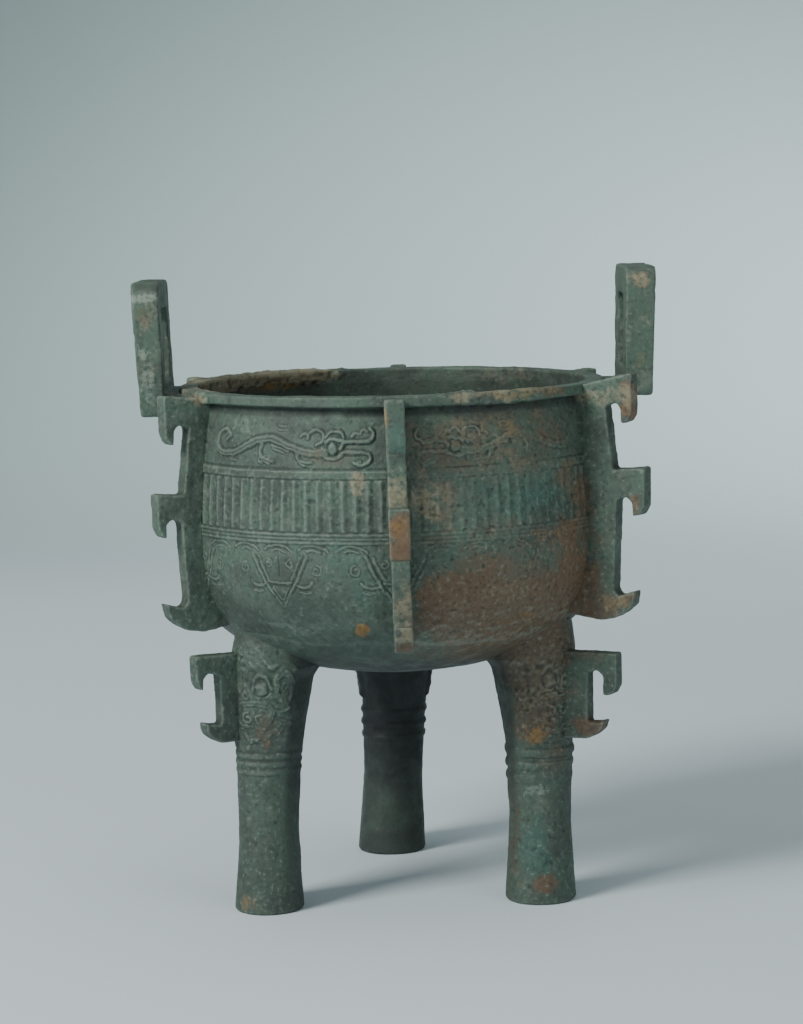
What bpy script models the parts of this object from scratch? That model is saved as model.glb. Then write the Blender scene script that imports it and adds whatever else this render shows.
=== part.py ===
"""A cast bronze ding: a deep round bowl on three column legs.

Six hooked flanges stand round the bowl, one more stands on each leg, and two
upright handles rise outside the rim. The whole vessel is one casting, so it is
one closed body. Metres, +Z up; the vessel stands on z = 0 and its front flange
points to -Y. Azimuths are in degrees, 0 at the front and growing to the right.
"""
import math

import bmesh
import bpy
import numpy as np

# ---------------------------------------------------------------- sizes
# The bowl's axis stands a little left of the frame's origin, which is the middle of the
# vessel's overall width: the right handle and hook reach farther out than the left ones
AXIS_X = -0.00207

# Bowl, measured from the ground up
RIM_TOP = 0.2911
LIP_HEIGHT = 0.0054
LIP_RADIUS = 0.1202
MOUTH_RADIUS = 0.1102
BELLY_RADIUS = 0.1220
BELLY_HEIGHT = 0.208
NECK_DRAW = 0.0075
BOWL_BOTTOM = 0.1285
BELLY_FULLNESS = 2.4
WALL = 0.0044
BOWL_SIDES = 32
CAVITY_SIDES = 24

# Bands cast round the bowl: lower and upper edge, and how far they stand out
UPPER_BAND = (0.2478, 0.2520, 0.0010)
LOWER_BAND = (0.2132, 0.2186, 0.0009)
BAND_BEVEL = 0.0006

# Vertical ribs between the two bands; the outer ones keep this many degrees from a flange's middle
RIBS_PER_PANEL = 18
RIB_BOTTOM = 0.2192
RIB_TOP = 0.2472
RIB_WIDTH = 0.0052
RIB_HEIGHT = 0.0017
RIB_CLEARANCE = 3.9

# How deep the foot of any carving sits in the surface that carries it
EMBED = 0.0022

# Body flanges: azimuth; height of the top at the lip and at its outer corner; reach of
# the top hook and height of its tip; the same for the middle hook; width of the
# two hooks; radius of the stem between them; height of the flange's foot; and, where a
# flange is not upright, the degrees that its foot leans sideways from LEAN_FROM down
FLANGE_THICKNESS = 0.0102
LEAN_FROM = 0.271
FLANGES = (
    dict(azimuth=0.5, top_in=0.2896, top_out=0.2912, top_reach=0.1425, top_tip=0.2620,
         mid_top=0.2340, mid_reach=0.1490, mid_tip=0.2065, top_hook=0.0060, mid_hook=0.0062,
         stem=0.1320, foot=0.1555, lean=1.0),
    dict(azimuth=62.5, top_in=0.2893, top_out=0.2975, top_reach=0.1485, top_tip=0.2694,
         mid_top=0.2450, mid_reach=0.1556, mid_tip=0.2188, top_hook=0.0066, mid_hook=0.0078,
         stem=0.1370, foot=0.1608),
    dict(azimuth=121.5, top_in=0.2892, top_out=0.2912, top_reach=0.1400, top_tip=0.2630,
         mid_top=0.2390, mid_reach=0.1470, mid_tip=0.2120, top_hook=0.0060, mid_hook=0.0062,
         stem=0.1325, foot=0.1600),
    dict(azimuth=178.2, top_in=0.2896, top_out=0.2916, top_reach=0.1425, top_tip=0.2630,
         mid_top=0.2380, mid_reach=0.1490, mid_tip=0.2110, top_hook=0.0060, mid_hook=0.0062,
         stem=0.1330, foot=0.1590),
    dict(azimuth=-121.5, top_in=0.2892, top_out=0.2912, top_reach=0.1400, top_tip=0.2630,
         mid_top=0.2380, mid_reach=0.1470, mid_tip=0.2110, top_hook=0.0060, mid_hook=0.0062,
         stem=0.1320, foot=0.1595),
    dict(azimuth=-62.5, top_in=0.2872, top_out=0.2903, top_reach=0.1420, top_tip=0.2628,
         mid_top=0.2362, mid_reach=0.1478, mid_tip=0.2122, top_hook=0.0054, mid_hook=0.0052,
         stem=0.1319, foot=0.1595),
)

# Handles: side, foot height, top height, inner face at foot, splay of the two faces
HANDLE_WIDTH = 0.076
HANDLE_WINDOW = (0.040, 0.040)
HANDLE_TOP_BAR = 0.0155
HANDLE_CORNER = 0.009
HANDLES = (
    dict(side=-1, foot=0.2762, top=0.3508, inner=0.1272, inner_lean=0.0, outer_lean=2.7, thickness=0.0125),
    dict(side=1, foot=0.2822, top=0.3535, inner=0.1295, inner_lean=0.8, outer_lean=2.9, thickness=0.0142),
)
BRIDGE_WIDTH = 0.060
BRIDGE_TOP = 0.2888

# Legs: place of each foot, how far the leg drifts to the right on its way up, and its
# raised rings as (height of the lowest, pitch, how many); then the profile of the column
LEG_FEET = (
    dict(azimuth=-57.6, distance=0.0894, drift=0.0022, rings=(0.0802, 0.0046, 3)),
    dict(azimuth=62.4, distance=0.0866, drift=0.0, rings=(0.0712, 0.0074, 3)),
    dict(azimuth=183.9, distance=0.0881, drift=0.0041, rings=(0.0716, 0.0075, 3)),
)
LEG_DRIFT_HEIGHT = 0.100
LEG_SIDES = 12
LEG_PROFILE = (
    (0.0000, 0.0195),
    (0.0240, 0.0180),
    (0.0500, 0.0170),
    (0.1000, 0.0187),
    (0.1130, 0.0193),
    (0.1280, 0.0195),
    (0.1370, 0.0195),
    (0.1480, 0.0194),
    (0.1640, 0.0160),
)
LEG_RING_RISE = 0.0012
FILLET_START = 0.084
FILLET_TOP = 0.137
FILLET_REACH = 0.0080
FILLET_POWER = 1.4
CROWN_START = 0.130
CROWN_TOP = 0.138
CROWN_REACH = 0.0045

# Leg flanges, measured from the bowl's axis; the gap's height over the hook's tip and
# the height of the foot hook's upper side over the foot
LEG_FLANGES = (
    dict(azimuth=-59.0, top=0.1470, reach=0.1320, hook=0.0046, tip=0.1272, gap=0.0100, stem=0.1168,
         foot=0.0968, barb=0.0110),
    dict(azimuth=61.5, top=0.1432, reach=0.1382, hook=0.0084, tip=0.1190, gap=0.0142, stem=0.1202,
         foot=0.0936, barb=0.0100),
    dict(azimuth=182.0, top=0.1450, reach=0.1345, hook=0.0060, tip=0.1230, gap=0.0115, stem=0.1185,
         foot=0.0948, barb=0.0110),
)
LEG_FLANGE_THICKNESS = 0.0088

# Dragon in its panel: degrees from the panel's middle towards its snout, height,
# and a width where it changes; then the usual width and how far it stands out
DRAGON_PANEL = 62.0
DRAGON_TURN = 1
DRAGON_STROKES = (
    # body ribbon, from the tip of the tail to the neck
    ([(-16.6, 0.2712, 0.0030), (-20.8, 0.2724, 0.0036), (-22.8, 0.2656, 0.0042), (-19.8, 0.2606, 0.0048),
      (-8.5, 0.2668, 0.0062), (-3.0, 0.2686, 0.0064), (6.5, 0.2630, 0.0064), (13.0, 0.2628, 0.0066)],
     0.006, 0.0014),
    # hind leg and fore leg
    ([(-5.6, 0.2655), (-5.6, 0.2582), (-1.8, 0.2562)], 0.0040, 0.0011),
    ([(5.4, 0.2620), (5.8, 0.2580), (9.0, 0.2562)], 0.0040, 0.0011),
    # crest curling back over the neck
    ([(7.4, 0.2704), (9.4, 0.2734), (13.0, 0.2710), (12.8, 0.2640)], 0.0034, 0.0010),
    # upper lip with its turned-up end
    ([(14.6, 0.2668), (24.8, 0.2670), (25.4, 0.2728)], 0.0040, 0.0012),
    # lower jaw curling under
    ([(14.6, 0.2612), (24.6, 0.2612), (24.6, 0.2560), (20.4, 0.2560)], 0.0036, 0.0012),
)
DRAGON_BOSSES = (
    ((-19.4, 0.2672), (0.0026, 0.0026), 0.0012),
    ((14.2, 0.2642), (0.0052, 0.0056), 0.0024),
)

# Hanging blade: its outline down to the tip and the barb on each side, from its middle line
BLADE_SIDE = [(7.4, 0.2066), (4.9, 0.1930), (0.0, 0.1775)]
BLADE_BARB = [(4.4, 0.1910), (8.6, 0.1902)]
BLADE_WIDTH = 0.0034
BLADE_LIFT = 0.0011

# Leg mask: one side of it, in degrees round the leg from the flange's middle
MASK_RADIUS = 0.0195
MASK_STROKES = (
    # horn, ear, cheek and chin
    ([(10.0, 0.1385), (34.0, 0.1416), (66.0, 0.1345)], 0.0046, 0.0013),
    ([(76.0, 0.1205), (74.0, 0.1305), (94.0, 0.1325), (98.0, 0.1215)], 0.0044, 0.0012),
    ([(12.0, 0.1190), (60.0, 0.1186), (64.0, 0.1090), (44.0, 0.1088)], 0.0042, 0.0012),
    ([(10.0, 0.1035), (34.0, 0.0980), (70.0, 0.1040)], 0.0036, 0.0010),
)
MASK_BOSSES = (
    ((48.0, 0.1268), (0.0060, 0.0048), 0.0024),
)

BRONZE = dict(color=(0.085, 0.115, 0.095, 1.0), roughness=0.62, metallic=0.35)


# ---------------------------------------------------------------- helpers
def direction(azimuth):
    """Unit vector pointing away from the axis at an azimuth in degrees."""
    turn = math.radians(azimuth)
    return np.array([math.sin(turn), -math.cos(turn), 0.0])


def across(azimuth):
    """Unit vector along the wall, towards growing azimuth."""
    turn = math.radians(azimuth)
    return np.array([math.cos(turn), math.sin(turn), 0.0])


def wall_radius(z):
    """Outer radius of the bowl's plain wall at a height."""
    if z >= BELLY_HEIGHT:
        rise = (z - BELLY_HEIGHT) / (RIM_TOP - LIP_HEIGHT - BELLY_HEIGHT)
        return BELLY_RADIUS - NECK_DRAW * rise * rise
    depth = min(1.0, (BELLY_HEIGHT - z) / (BELLY_HEIGHT - BOWL_BOTTOM))
    return BELLY_RADIUS * (1.0 - depth ** BELLY_FULLNESS) ** (1.0 / BELLY_FULLNESS)


def arc(centre, radius, start, end, steps):
    """Points along an arc in a flat outline; angles in degrees."""
    turns = np.radians(np.linspace(start, end, steps + 1))
    return [(centre[0] + radius * math.cos(t), centre[1] + radius * math.sin(t)) for t in turns]


def new_object(name, mesh, cutter=False):
    """Link a mesh as an object; a cutter is only a guide for a Boolean."""
    piece = bpy.data.objects.new(name, mesh)
    bpy.context.scene.collection.objects.link(piece)
    if cutter:
        piece.hide_render = True
        piece.display_type = "WIRE"
    return piece


def mesh_from(bm, name):
    """Turn a bmesh of closed bodies into a mesh whose faces point outwards."""
    bmesh.ops.recalc_face_normals(bm, faces=bm.faces)
    mesh = bpy.data.meshes.new(name)
    bm.to_mesh(mesh)
    bm.free()
    return mesh


def add_loft(bm, rings, closed=False):
    """Skin rings of equally many points; the two ends are capped unless closed."""
    rows = [[bm.verts.new(p) for p in ring] for ring in rings]
    count = len(rows[0])
    pairs = list(zip(rows, rows[1:]))
    if closed:
        pairs.append((rows[-1], rows[0]))
    for low, high in pairs:
        for i in range(count):
            j = (i + 1) % count
            bm.faces.new((low[i], low[j], high[j], high[i]))
    if not closed:
        bm.faces.new(rows[0][::-1])
        bm.faces.new(rows[-1])


def add_turned(bm, profile, sides):
    """Turn a profile of (radius, height) about the vertical axis, capped flat."""
    turns = np.linspace(0.0, 2.0 * math.pi, sides, endpoint=False)
    rings = [[(r * math.cos(t), r * math.sin(t), z) for t in turns] for r, z in profile]
    add_loft(bm, rings)


def add_plate(bm, outline, azimuth, thickness, lean=0.0):
    """Stand a flat outline of (radius, height) on edge at an azimuth, its foot leaning sideways."""
    out = direction(azimuth)
    slope = math.tan(math.radians(lean))
    faces = []
    for sign in (-1.0, 1.0):
        face = []
        for radius, z in outline:
            sideways = sign * thickness / 2.0 + slope * (LEAN_FROM - z)
            face.append(out * radius + across(azimuth) * sideways + np.array([0.0, 0.0, z]))
        faces.append(face)
    add_loft(bm, faces)


# ---------------------------------------------------------------- bowl
def band_rows(band):
    """Profile rows of one raised band, from its lower to its upper edge."""
    low, high, rise = band
    return [
        (wall_radius(low), low),
        (wall_radius(low) + rise, low + BAND_BEVEL),
        (wall_radius(high) + rise, high - BAND_BEVEL),
        (wall_radius(high), high),
    ]


def bowl_profile():
    """Outer profile of the bowl from its bottom to the top of the lip."""
    rows = []
    for swing in (15.0, 31.0, 48.0, 65.0, 80.0):
        turn = math.radians(swing)
        power = 2.0 / BELLY_FULLNESS
        radius = BELLY_RADIUS * math.sin(turn) ** power
        height = BELLY_HEIGHT - (BELLY_HEIGHT - BOWL_BOTTOM) * math.cos(turn) ** power
        rows.append((radius, height))
    rows += band_rows(LOWER_BAND)
    rows += band_rows(UPPER_BAND)
    under = RIM_TOP - LIP_HEIGHT
    rows += [
        (wall_radius(under), under - 0.0004),
        (LIP_RADIUS, under),
        (LIP_RADIUS, RIM_TOP - 0.0008),
        (LIP_RADIUS - 0.0008, RIM_TOP),
    ]
    return rows


def cavity_profile():
    """Profile of the empty inside, carried on above the mouth to cut it clear."""
    rows = []
    inner_belly = BELLY_RADIUS - WALL
    inner_bottom = BOWL_BOTTOM + WALL
    for swing in (16.0, 32.0, 48.0, 64.0, 79.0):
        turn = math.radians(swing)
        power = 2.0 / BELLY_FULLNESS
        radius = inner_belly * math.sin(turn) ** power
        height = BELLY_HEIGHT - (BELLY_HEIGHT - inner_bottom) * math.cos(turn) ** power
        rows.append((radius, height))
    for height in (0.218, 0.256):
        rows.append((wall_radius(height) - WALL, height))
    rows += [(MOUTH_RADIUS, 0.283), (MOUTH_RADIUS, RIM_TOP + 0.020)]
    return rows


def make_bowl():
    """The solid outer form of the bowl, to be hollowed at the end."""
    bm = bmesh.new()
    add_turned(bm, bowl_profile(), BOWL_SIDES)
    return new_object("ding_vessel", mesh_from(bm, "ding_vessel"))


def make_cavity():
    """Cutter for the inside of the bowl."""
    bm = bmesh.new()
    add_turned(bm, cavity_profile(), CAVITY_SIDES)
    return new_object("cavity", mesh_from(bm, "cavity"), cutter=True)


# ---------------------------------------------------------------- flanges
def hanging_hook(reach, top, tip, width, stem, gap_rise):
    """Bar that ends in a hook hanging clear of the stem, from its top corner inwards."""
    inner = reach - width
    gap = tip + gap_rise
    points = [(reach, top), (reach - 0.0002, tip + 0.0060), (reach - 0.0026, tip + 0.0012), (inner, tip)]
    points += [(inner, gap - 0.0030), (inner - 0.0032, gap), (stem + 0.0010, gap - 0.0018)]
    return points


def flange_outline(f):
    """Outline of a body flange: two bars with hanging hooks and an upturned foot hook."""
    inner, stem, foot = 0.095, f["stem"], f["foot"]
    points = [(inner, f["top_in"] - 0.0004), (0.1135, f["top_in"])]
    points += hanging_hook(f["top_reach"], f["top_out"], f["top_tip"], f["top_hook"], stem - 0.0052, 0.0118)
    points += [(stem, f["mid_top"] - 0.0006)]
    points += hanging_hook(f["mid_reach"], f["mid_top"] + 0.0008, f["mid_tip"], f["mid_hook"], stem + 0.0010, 0.0108)
    points += [(stem - 0.0004, foot + 0.0175), (stem + 0.0018, foot + 0.0140)]
    points += [(stem + 0.0062, foot + 0.0152), (stem + 0.0123, foot + 0.0172), (stem + 0.0105, foot + 0.0090)]
    points += [(stem + 0.0052, foot + 0.0042), (stem - 0.0006, foot + 0.0013)]
    points += [(stem - 0.0085, foot), (stem - 0.0160, foot + 0.0009), (inner, foot + 0.0030)]
    return points


def leg_flange_outline(f):
    """Outline of a leg flange: a bar with a hanging hook above an upturned foot hook."""
    inner, stem, foot = 0.090, f["stem"], f["foot"]
    points = [(inner, f["top"] - 0.0010)]
    barb = foot + f["barb"]
    points += hanging_hook(f["reach"], f["top"], f["tip"], f["hook"], stem - 0.0004, f["gap"])
    points += [(stem, barb), (stem + 0.0064, barb + 0.0004), (stem + 0.0102, barb + 0.0016)]
    points += [(stem + 0.0088, foot + 0.0066), (stem + 0.0046, foot + 0.0028), (stem, foot + 0.0008)]
    points += [(inner, foot - 0.0006)]
    return points


def make_flanges():
    """All body and leg flanges, as plates standing on edge."""
    bm = bmesh.new()
    for flange in FLANGES:
        add_plate(bm, flange_outline(flange), flange["azimuth"], FLANGE_THICKNESS, flange.get("lean", 0.0))
    for flange in LEG_FLANGES:
        add_plate(bm, leg_flange_outline(flange), flange["azimuth"], LEG_FLANGE_THICKNESS)
    return new_object("flanges", mesh_from(bm, "flanges"), cutter=True)


# ---------------------------------------------------------------- handles
def rounded_box(half, low, high, corner, steps):
    """Outline of (across, height) with two rounded upper corners, anticlockwise."""
    points = [(-half, low), (half, low)]
    points += arc((half - corner, high - corner), corner, 0.0, 90.0, steps)
    points += arc((corner - half, high - corner), corner, 90.0, 180.0, steps)
    return points


def handle_faces(h, outline):
    """Carry a flat outline of (across, height) to the inner and outer face of a handle."""
    faces = []
    for start, lean in ((h["inner"], h["inner_lean"]), (h["inner"] + h["thickness"], h["outer_lean"])):
        face = []
        for y, z in outline:
            out = start + math.tan(math.radians(lean)) * (z - h["foot"])
            face.append((h["side"] * out, y, z))
        faces.append(face)
    return faces


def make_handles():
    """The two handle slabs, still without their windows, and the bridges to the rim."""
    slabs = bmesh.new()
    bridges = bmesh.new()
    for h in HANDLES:
        outline = rounded_box(HANDLE_WIDTH / 2.0, h["foot"], h["top"], HANDLE_CORNER, 3)
        add_loft(slabs, handle_faces(h, outline))
        low = h["foot"] + 0.0006
        half = BRIDGE_WIDTH / 2.0
        rings = []
        for out in (0.1050, h["inner"] + 0.0040):
            x = h["side"] * out
            rings.append([(x, -half, low), (x, half, low), (x, half, BRIDGE_TOP), (x, -half, BRIDGE_TOP)])
        add_loft(bridges, rings)
    return (
        new_object("handle_slabs", mesh_from(slabs, "handle_slabs"), cutter=True),
        new_object("handle_bridges", mesh_from(bridges, "handle_bridges"), cutter=True),
    )


def make_windows():
    """Cutters for the openings through the handles."""
    bm = bmesh.new()
    width, height = HANDLE_WINDOW
    for h in HANDLES:
        high = h["top"] - HANDLE_TOP_BAR
        outline = arc((width / 2.0 - 0.005, high - height + 0.005), 0.005, -90.0, 0.0, 2)
        outline += arc((width / 2.0 - 0.007, high - 0.007), 0.007, 0.0, 90.0, 2)
        outline += arc((0.007 - width / 2.0, high - 0.007), 0.007, 90.0, 180.0, 2)
        outline += arc((0.005 - width / 2.0, high - height + 0.005), 0.005, 180.0, 270.0, 2)
        rings = [[(h["side"] * out, y, z) for y, z in outline] for out in (0.115, 0.165)]
        add_loft(bm, rings)
    return new_object("handle_windows", mesh_from(bm, "handle_windows"), cutter=True)


# ---------------------------------------------------------------- legs
def leg_radius(z):
    """Radius of the plain column at a height, straight between the profile's rows."""
    heights, radii = zip(*LEG_PROFILE)
    return float(np.interp(z, heights, radii))


def leg_centre(foot, z):
    """Where a leg's middle line passes a height."""
    centre = direction(foot["azimuth"]) * foot["distance"]
    centre[0] += foot["drift"] * z / LEG_DRIFT_HEIGHT
    return centre


def leg_rows(foot):
    """Heights and radii of a column with its raised rings, which meet in grooves."""
    lowest, pitch, count = foot["rings"]
    rows = dict(LEG_PROFILE)
    for step in range(2 * count + 1):
        height = lowest + (step - 1) * pitch / 2.0
        rows[height] = leg_radius(height) + LEG_RING_RISE * (step % 2)
    return sorted(rows.items())


def leg_ring(foot, z, radius, sides):
    """One ring of a leg: a circle drawn out towards the bowl's axis near its top."""
    centre = leg_centre(foot, z)
    inward = -direction(foot["azimuth"])
    sideways = across(foot["azimuth"])
    rise = min(1.0, max(0.0, (z - FILLET_START) / (FILLET_TOP - FILLET_START)))
    crown = min(1.0, max(0.0, (z - CROWN_START) / (CROWN_TOP - CROWN_START)))
    flare = FILLET_REACH * rise ** FILLET_POWER + CROWN_REACH * crown ** 2
    ring = []
    for t in np.linspace(0.0, 2.0 * math.pi, sides, endpoint=False):
        reach = radius + flare * (0.5 + 0.5 * math.cos(t)) ** 2
        point = centre + (inward * math.cos(t) + sideways * math.sin(t)) * reach
        ring.append((point[0], point[1], z))
    return ring


def make_legs():
    """Three columns, each running up into the bowl's wall."""
    bm = bmesh.new()
    for foot in LEG_FEET:
        add_loft(bm, [leg_ring(foot, z, radius, LEG_SIDES) for z, radius in leg_rows(foot)])
    return new_object("legs", mesh_from(bm, "legs"), cutter=True)


# ---------------------------------------------------------------- carving
def panels():
    """The six panels between neighbouring flanges, as (centre, width) azimuths."""
    azimuths = sorted(f["azimuth"] for f in FLANGES)
    azimuths.append(azimuths[0] + 360.0)
    return [((a + b) / 2.0, b - a) for a, b in zip(azimuths, azimuths[1:])]


def on_wall(azimuth, z, lift):
    """Point on the bowl's wall, lifted off it."""
    point = direction(azimuth) * (wall_radius(z) + lift)
    return (point[0], point[1], z)


def on_leg(foot):
    """Surface of one leg: azimuths count from the side that faces away from the bowl's axis."""

    def place(azimuth, z, lift):
        point = leg_centre(foot, z) + direction(foot["azimuth"] + azimuth) * (leg_radius(z) + lift)
        return (point[0], point[1], z)

    return place


def add_stroke(bm, place, radius, path, width, lift, flat):
    """Raise a stroke along a path of (azimuth, height) on a turned surface.

    The stroke is as wide at its foot as `width`, or as wide as each point's
    third value, and the share `flat` of that on top: none makes a sharp ridge.
    """
    line = np.array([(math.radians(p[0]) * radius, p[1]) for p in path])
    steps = np.diff(line, axis=0)
    steps /= np.linalg.norm(steps, axis=1)[:, None]
    before = np.vstack([steps[:1], steps])
    after = np.vstack([steps, steps[-1:]])
    along = before + after
    along /= np.linalg.norm(along, axis=1)[:, None]
    mitre = 1.0 / np.clip((along * after).sum(axis=1), 0.75, 1.0)
    normal = np.stack([-along[:, 1], along[:, 0]], axis=1) * mitre[:, None]
    section = [(-1.0, -EMBED), (1.0, -EMBED), (flat, lift), (-flat, lift)]
    if flat == 0.0:
        section.pop()
    rings = []
    for point, side, step in zip(line, normal, path):
        half = (step[2] if len(step) > 2 else width) / 2.0
        ring = []
        for spread, height in section:
            a, z = point + side * spread * half
            ring.append(place(math.degrees(a / radius), z, height))
        rings.append(ring)
    add_loft(bm, rings)


def add_boss(bm, place, radius, centre, size, lift, sides):
    """Raise a low oval boss with sloping sides on a turned surface."""
    rings = []
    for grow, height in ((1.0, -EMBED), (0.6, lift)):
        ring = []
        for t in np.linspace(0.0, 2.0 * math.pi, sides, endpoint=False):
            a = centre[0] + math.degrees(size[0] * grow * math.cos(t) / radius)
            ring.append(place(a, centre[1] + size[1] * grow * math.sin(t), height))
        rings.append(ring)
    add_loft(bm, rings)


def make_ribs():
    """Upright ribs round the bowl, with sides that slope a little."""
    bm = bmesh.new()
    for centre, width in panels():
        half = width / 2.0 - RIB_CLEARANCE
        for azimuth in np.linspace(centre - half, centre + half, RIBS_PER_PANEL):
            path = [(azimuth, RIB_BOTTOM), (azimuth, RIB_TOP)]
            add_stroke(bm, on_wall, BELLY_RADIUS, path, RIB_WIDTH, RIB_HEIGHT, 0.0)
    return new_object("ribs", mesh_from(bm, "ribs"), cutter=True)


def mirrored(path, centre, turn):
    """Set a path drawn about a middle line on the wall, facing either way."""
    return [(centre + turn * p[0],) + tuple(p[1:]) for p in path]


def make_dragons():
    """One dragon in each panel of the frieze; neighbours look at the flange between them."""
    bm = bmesh.new()
    for index, (centre, width) in enumerate(panels()):
        turn = (width / DRAGON_PANEL) * (1 if index % 2 == DRAGON_TURN else -1)
        for path, foot, lift in DRAGON_STROKES:
            add_stroke(bm, on_wall, BELLY_RADIUS, mirrored(path, centre, turn), foot, lift, 0.7)
        for spot, size, lift in DRAGON_BOSSES:
            middle = (centre + turn * spot[0], spot[1])
            add_boss(bm, on_wall, BELLY_RADIUS, middle, size, lift, 6)
    return new_object("dragons", mesh_from(bm, "dragons"), cutter=True)


def make_blades():
    """Hanging blades: one under the middle of each panel and one behind each flange."""
    bm = bmesh.new()
    middles = [centre for centre, width in panels()]
    behind = [f["azimuth"] for f in FLANGES]
    side = BLADE_SIDE + [(-a, z) for a, z in BLADE_SIDE[-2::-1]]
    for centre in middles + behind:
        add_stroke(bm, on_wall, BELLY_RADIUS, mirrored(side, centre, 1), BLADE_WIDTH, BLADE_LIFT, 0.0)
        for turn in (-1, 1):
            barb = mirrored(BLADE_BARB, centre, turn)
            add_stroke(bm, on_wall, BELLY_RADIUS, barb, BLADE_WIDTH, BLADE_LIFT, 0.0)
    return new_object("blades", mesh_from(bm, "blades"), cutter=True)


def make_masks():
    """An animal mask on each leg, halved by the leg's flange."""
    bm = bmesh.new()
    for foot in LEG_FEET:
        place = on_leg(foot)
        for turn in (-1, 1):
            for path, width, lift in MASK_STROKES:
                add_stroke(bm, place, MASK_RADIUS, mirrored(path, 0.0, turn), width, lift, 0.5)
            for spot, size, lift in MASK_BOSSES:
                add_boss(bm, place, MASK_RADIUS, (turn * spot[0], spot[1]), size, lift, 6)
    return new_object("masks", mesh_from(bm, "masks"), cutter=True)


# ---------------------------------------------------------------- assembly
def bronze():
    """Patinated bronze."""
    material = bpy.data.materials.new("patinated_bronze")
    material.use_nodes = True
    shader = material.node_tree.nodes["Principled BSDF"]
    shader.inputs["Base Color"].default_value = BRONZE["color"]
    shader.inputs["Roughness"].default_value = BRONZE["roughness"]
    shader.inputs["Metallic"].default_value = BRONZE["metallic"]
    return material


def combine(vessel, other, operation, overlapping=False):
    """Add or cut one set of bodies by a live Boolean; they move with the vessel."""
    other.parent = vessel
    modifier = vessel.modifiers.new(other.name, "BOOLEAN")
    modifier.object = other
    modifier.operation = operation
    modifier.solver = "EXACT"
    modifier.use_self = overlapping


def main():
    for old in list(bpy.data.objects):
        bpy.data.objects.remove(old)
    vessel = make_bowl()
    slabs, bridges = make_handles()
    combine(vessel, make_legs(), "UNION")
    combine(vessel, make_flanges(), "UNION")
    combine(vessel, slabs, "UNION")
    combine(vessel, bridges, "UNION")
    combine(vessel, make_windows(), "DIFFERENCE")
    combine(vessel, make_ribs(), "UNION")
    combine(vessel, make_dragons(), "UNION", overlapping=True)
    combine(vessel, make_blades(), "UNION", overlapping=True)
    combine(vessel, make_masks(), "UNION", overlapping=True)
    combine(vessel, make_cavity(), "DIFFERENCE")
    vessel.location.x = AXIS_X
    vessel.data.materials.append(bronze())
    vessel.data.shade_smooth()
    vessel.data.set_sharp_from_angle(angle=math.radians(32.0))


main()
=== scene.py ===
"""Cast bronze ding: a deep round bowl on three column legs, with flanges and two handles.

The vessel is one casting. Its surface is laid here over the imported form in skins: the
turned bowl, six wall panels with their carving, the flanges, the handles and the legs.
Lengths are metres, +Z is up and azimuths are degrees, 0 at the front (-Y) and growing
towards +X. Carving is drawn as strokes on a flat sheet of (azimuth, height), which is
then bent round the wall. The drawn strokes and the stains are written in millimetres.
"""
from __future__ import annotations

import logging
import math
from dataclasses import dataclass, field
from enum import Enum
from typing import Sequence

import bpy
import numpy as np
from mathutils import Matrix, Vector

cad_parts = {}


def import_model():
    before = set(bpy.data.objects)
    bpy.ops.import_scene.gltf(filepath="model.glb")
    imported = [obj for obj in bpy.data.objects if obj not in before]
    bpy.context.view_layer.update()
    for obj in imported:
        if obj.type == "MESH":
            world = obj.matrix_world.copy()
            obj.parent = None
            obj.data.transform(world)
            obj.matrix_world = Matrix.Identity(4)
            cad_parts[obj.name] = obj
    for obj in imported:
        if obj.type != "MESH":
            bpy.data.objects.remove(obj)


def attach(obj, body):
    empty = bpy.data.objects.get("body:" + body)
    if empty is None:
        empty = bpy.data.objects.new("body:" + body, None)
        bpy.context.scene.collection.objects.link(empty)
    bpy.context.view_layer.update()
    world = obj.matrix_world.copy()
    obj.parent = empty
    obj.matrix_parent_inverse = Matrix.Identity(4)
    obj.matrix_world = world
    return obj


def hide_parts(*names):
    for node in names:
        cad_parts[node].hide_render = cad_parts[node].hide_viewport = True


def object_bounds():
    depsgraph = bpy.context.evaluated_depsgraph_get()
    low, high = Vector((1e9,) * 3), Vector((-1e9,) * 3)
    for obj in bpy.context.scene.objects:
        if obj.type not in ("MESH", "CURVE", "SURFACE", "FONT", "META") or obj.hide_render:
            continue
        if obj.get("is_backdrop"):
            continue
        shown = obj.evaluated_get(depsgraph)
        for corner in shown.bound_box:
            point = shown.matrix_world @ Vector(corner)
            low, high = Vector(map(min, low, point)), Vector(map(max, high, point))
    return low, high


LOG = logging.getLogger("ding")
BODY = "root"
NODE = "ding_vessel"
SLOT = "patinated_bronze"

Outline = list[tuple[float, float]]
Faces = list[tuple[int, ...]]
Body = tuple[np.ndarray, Faces]


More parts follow.
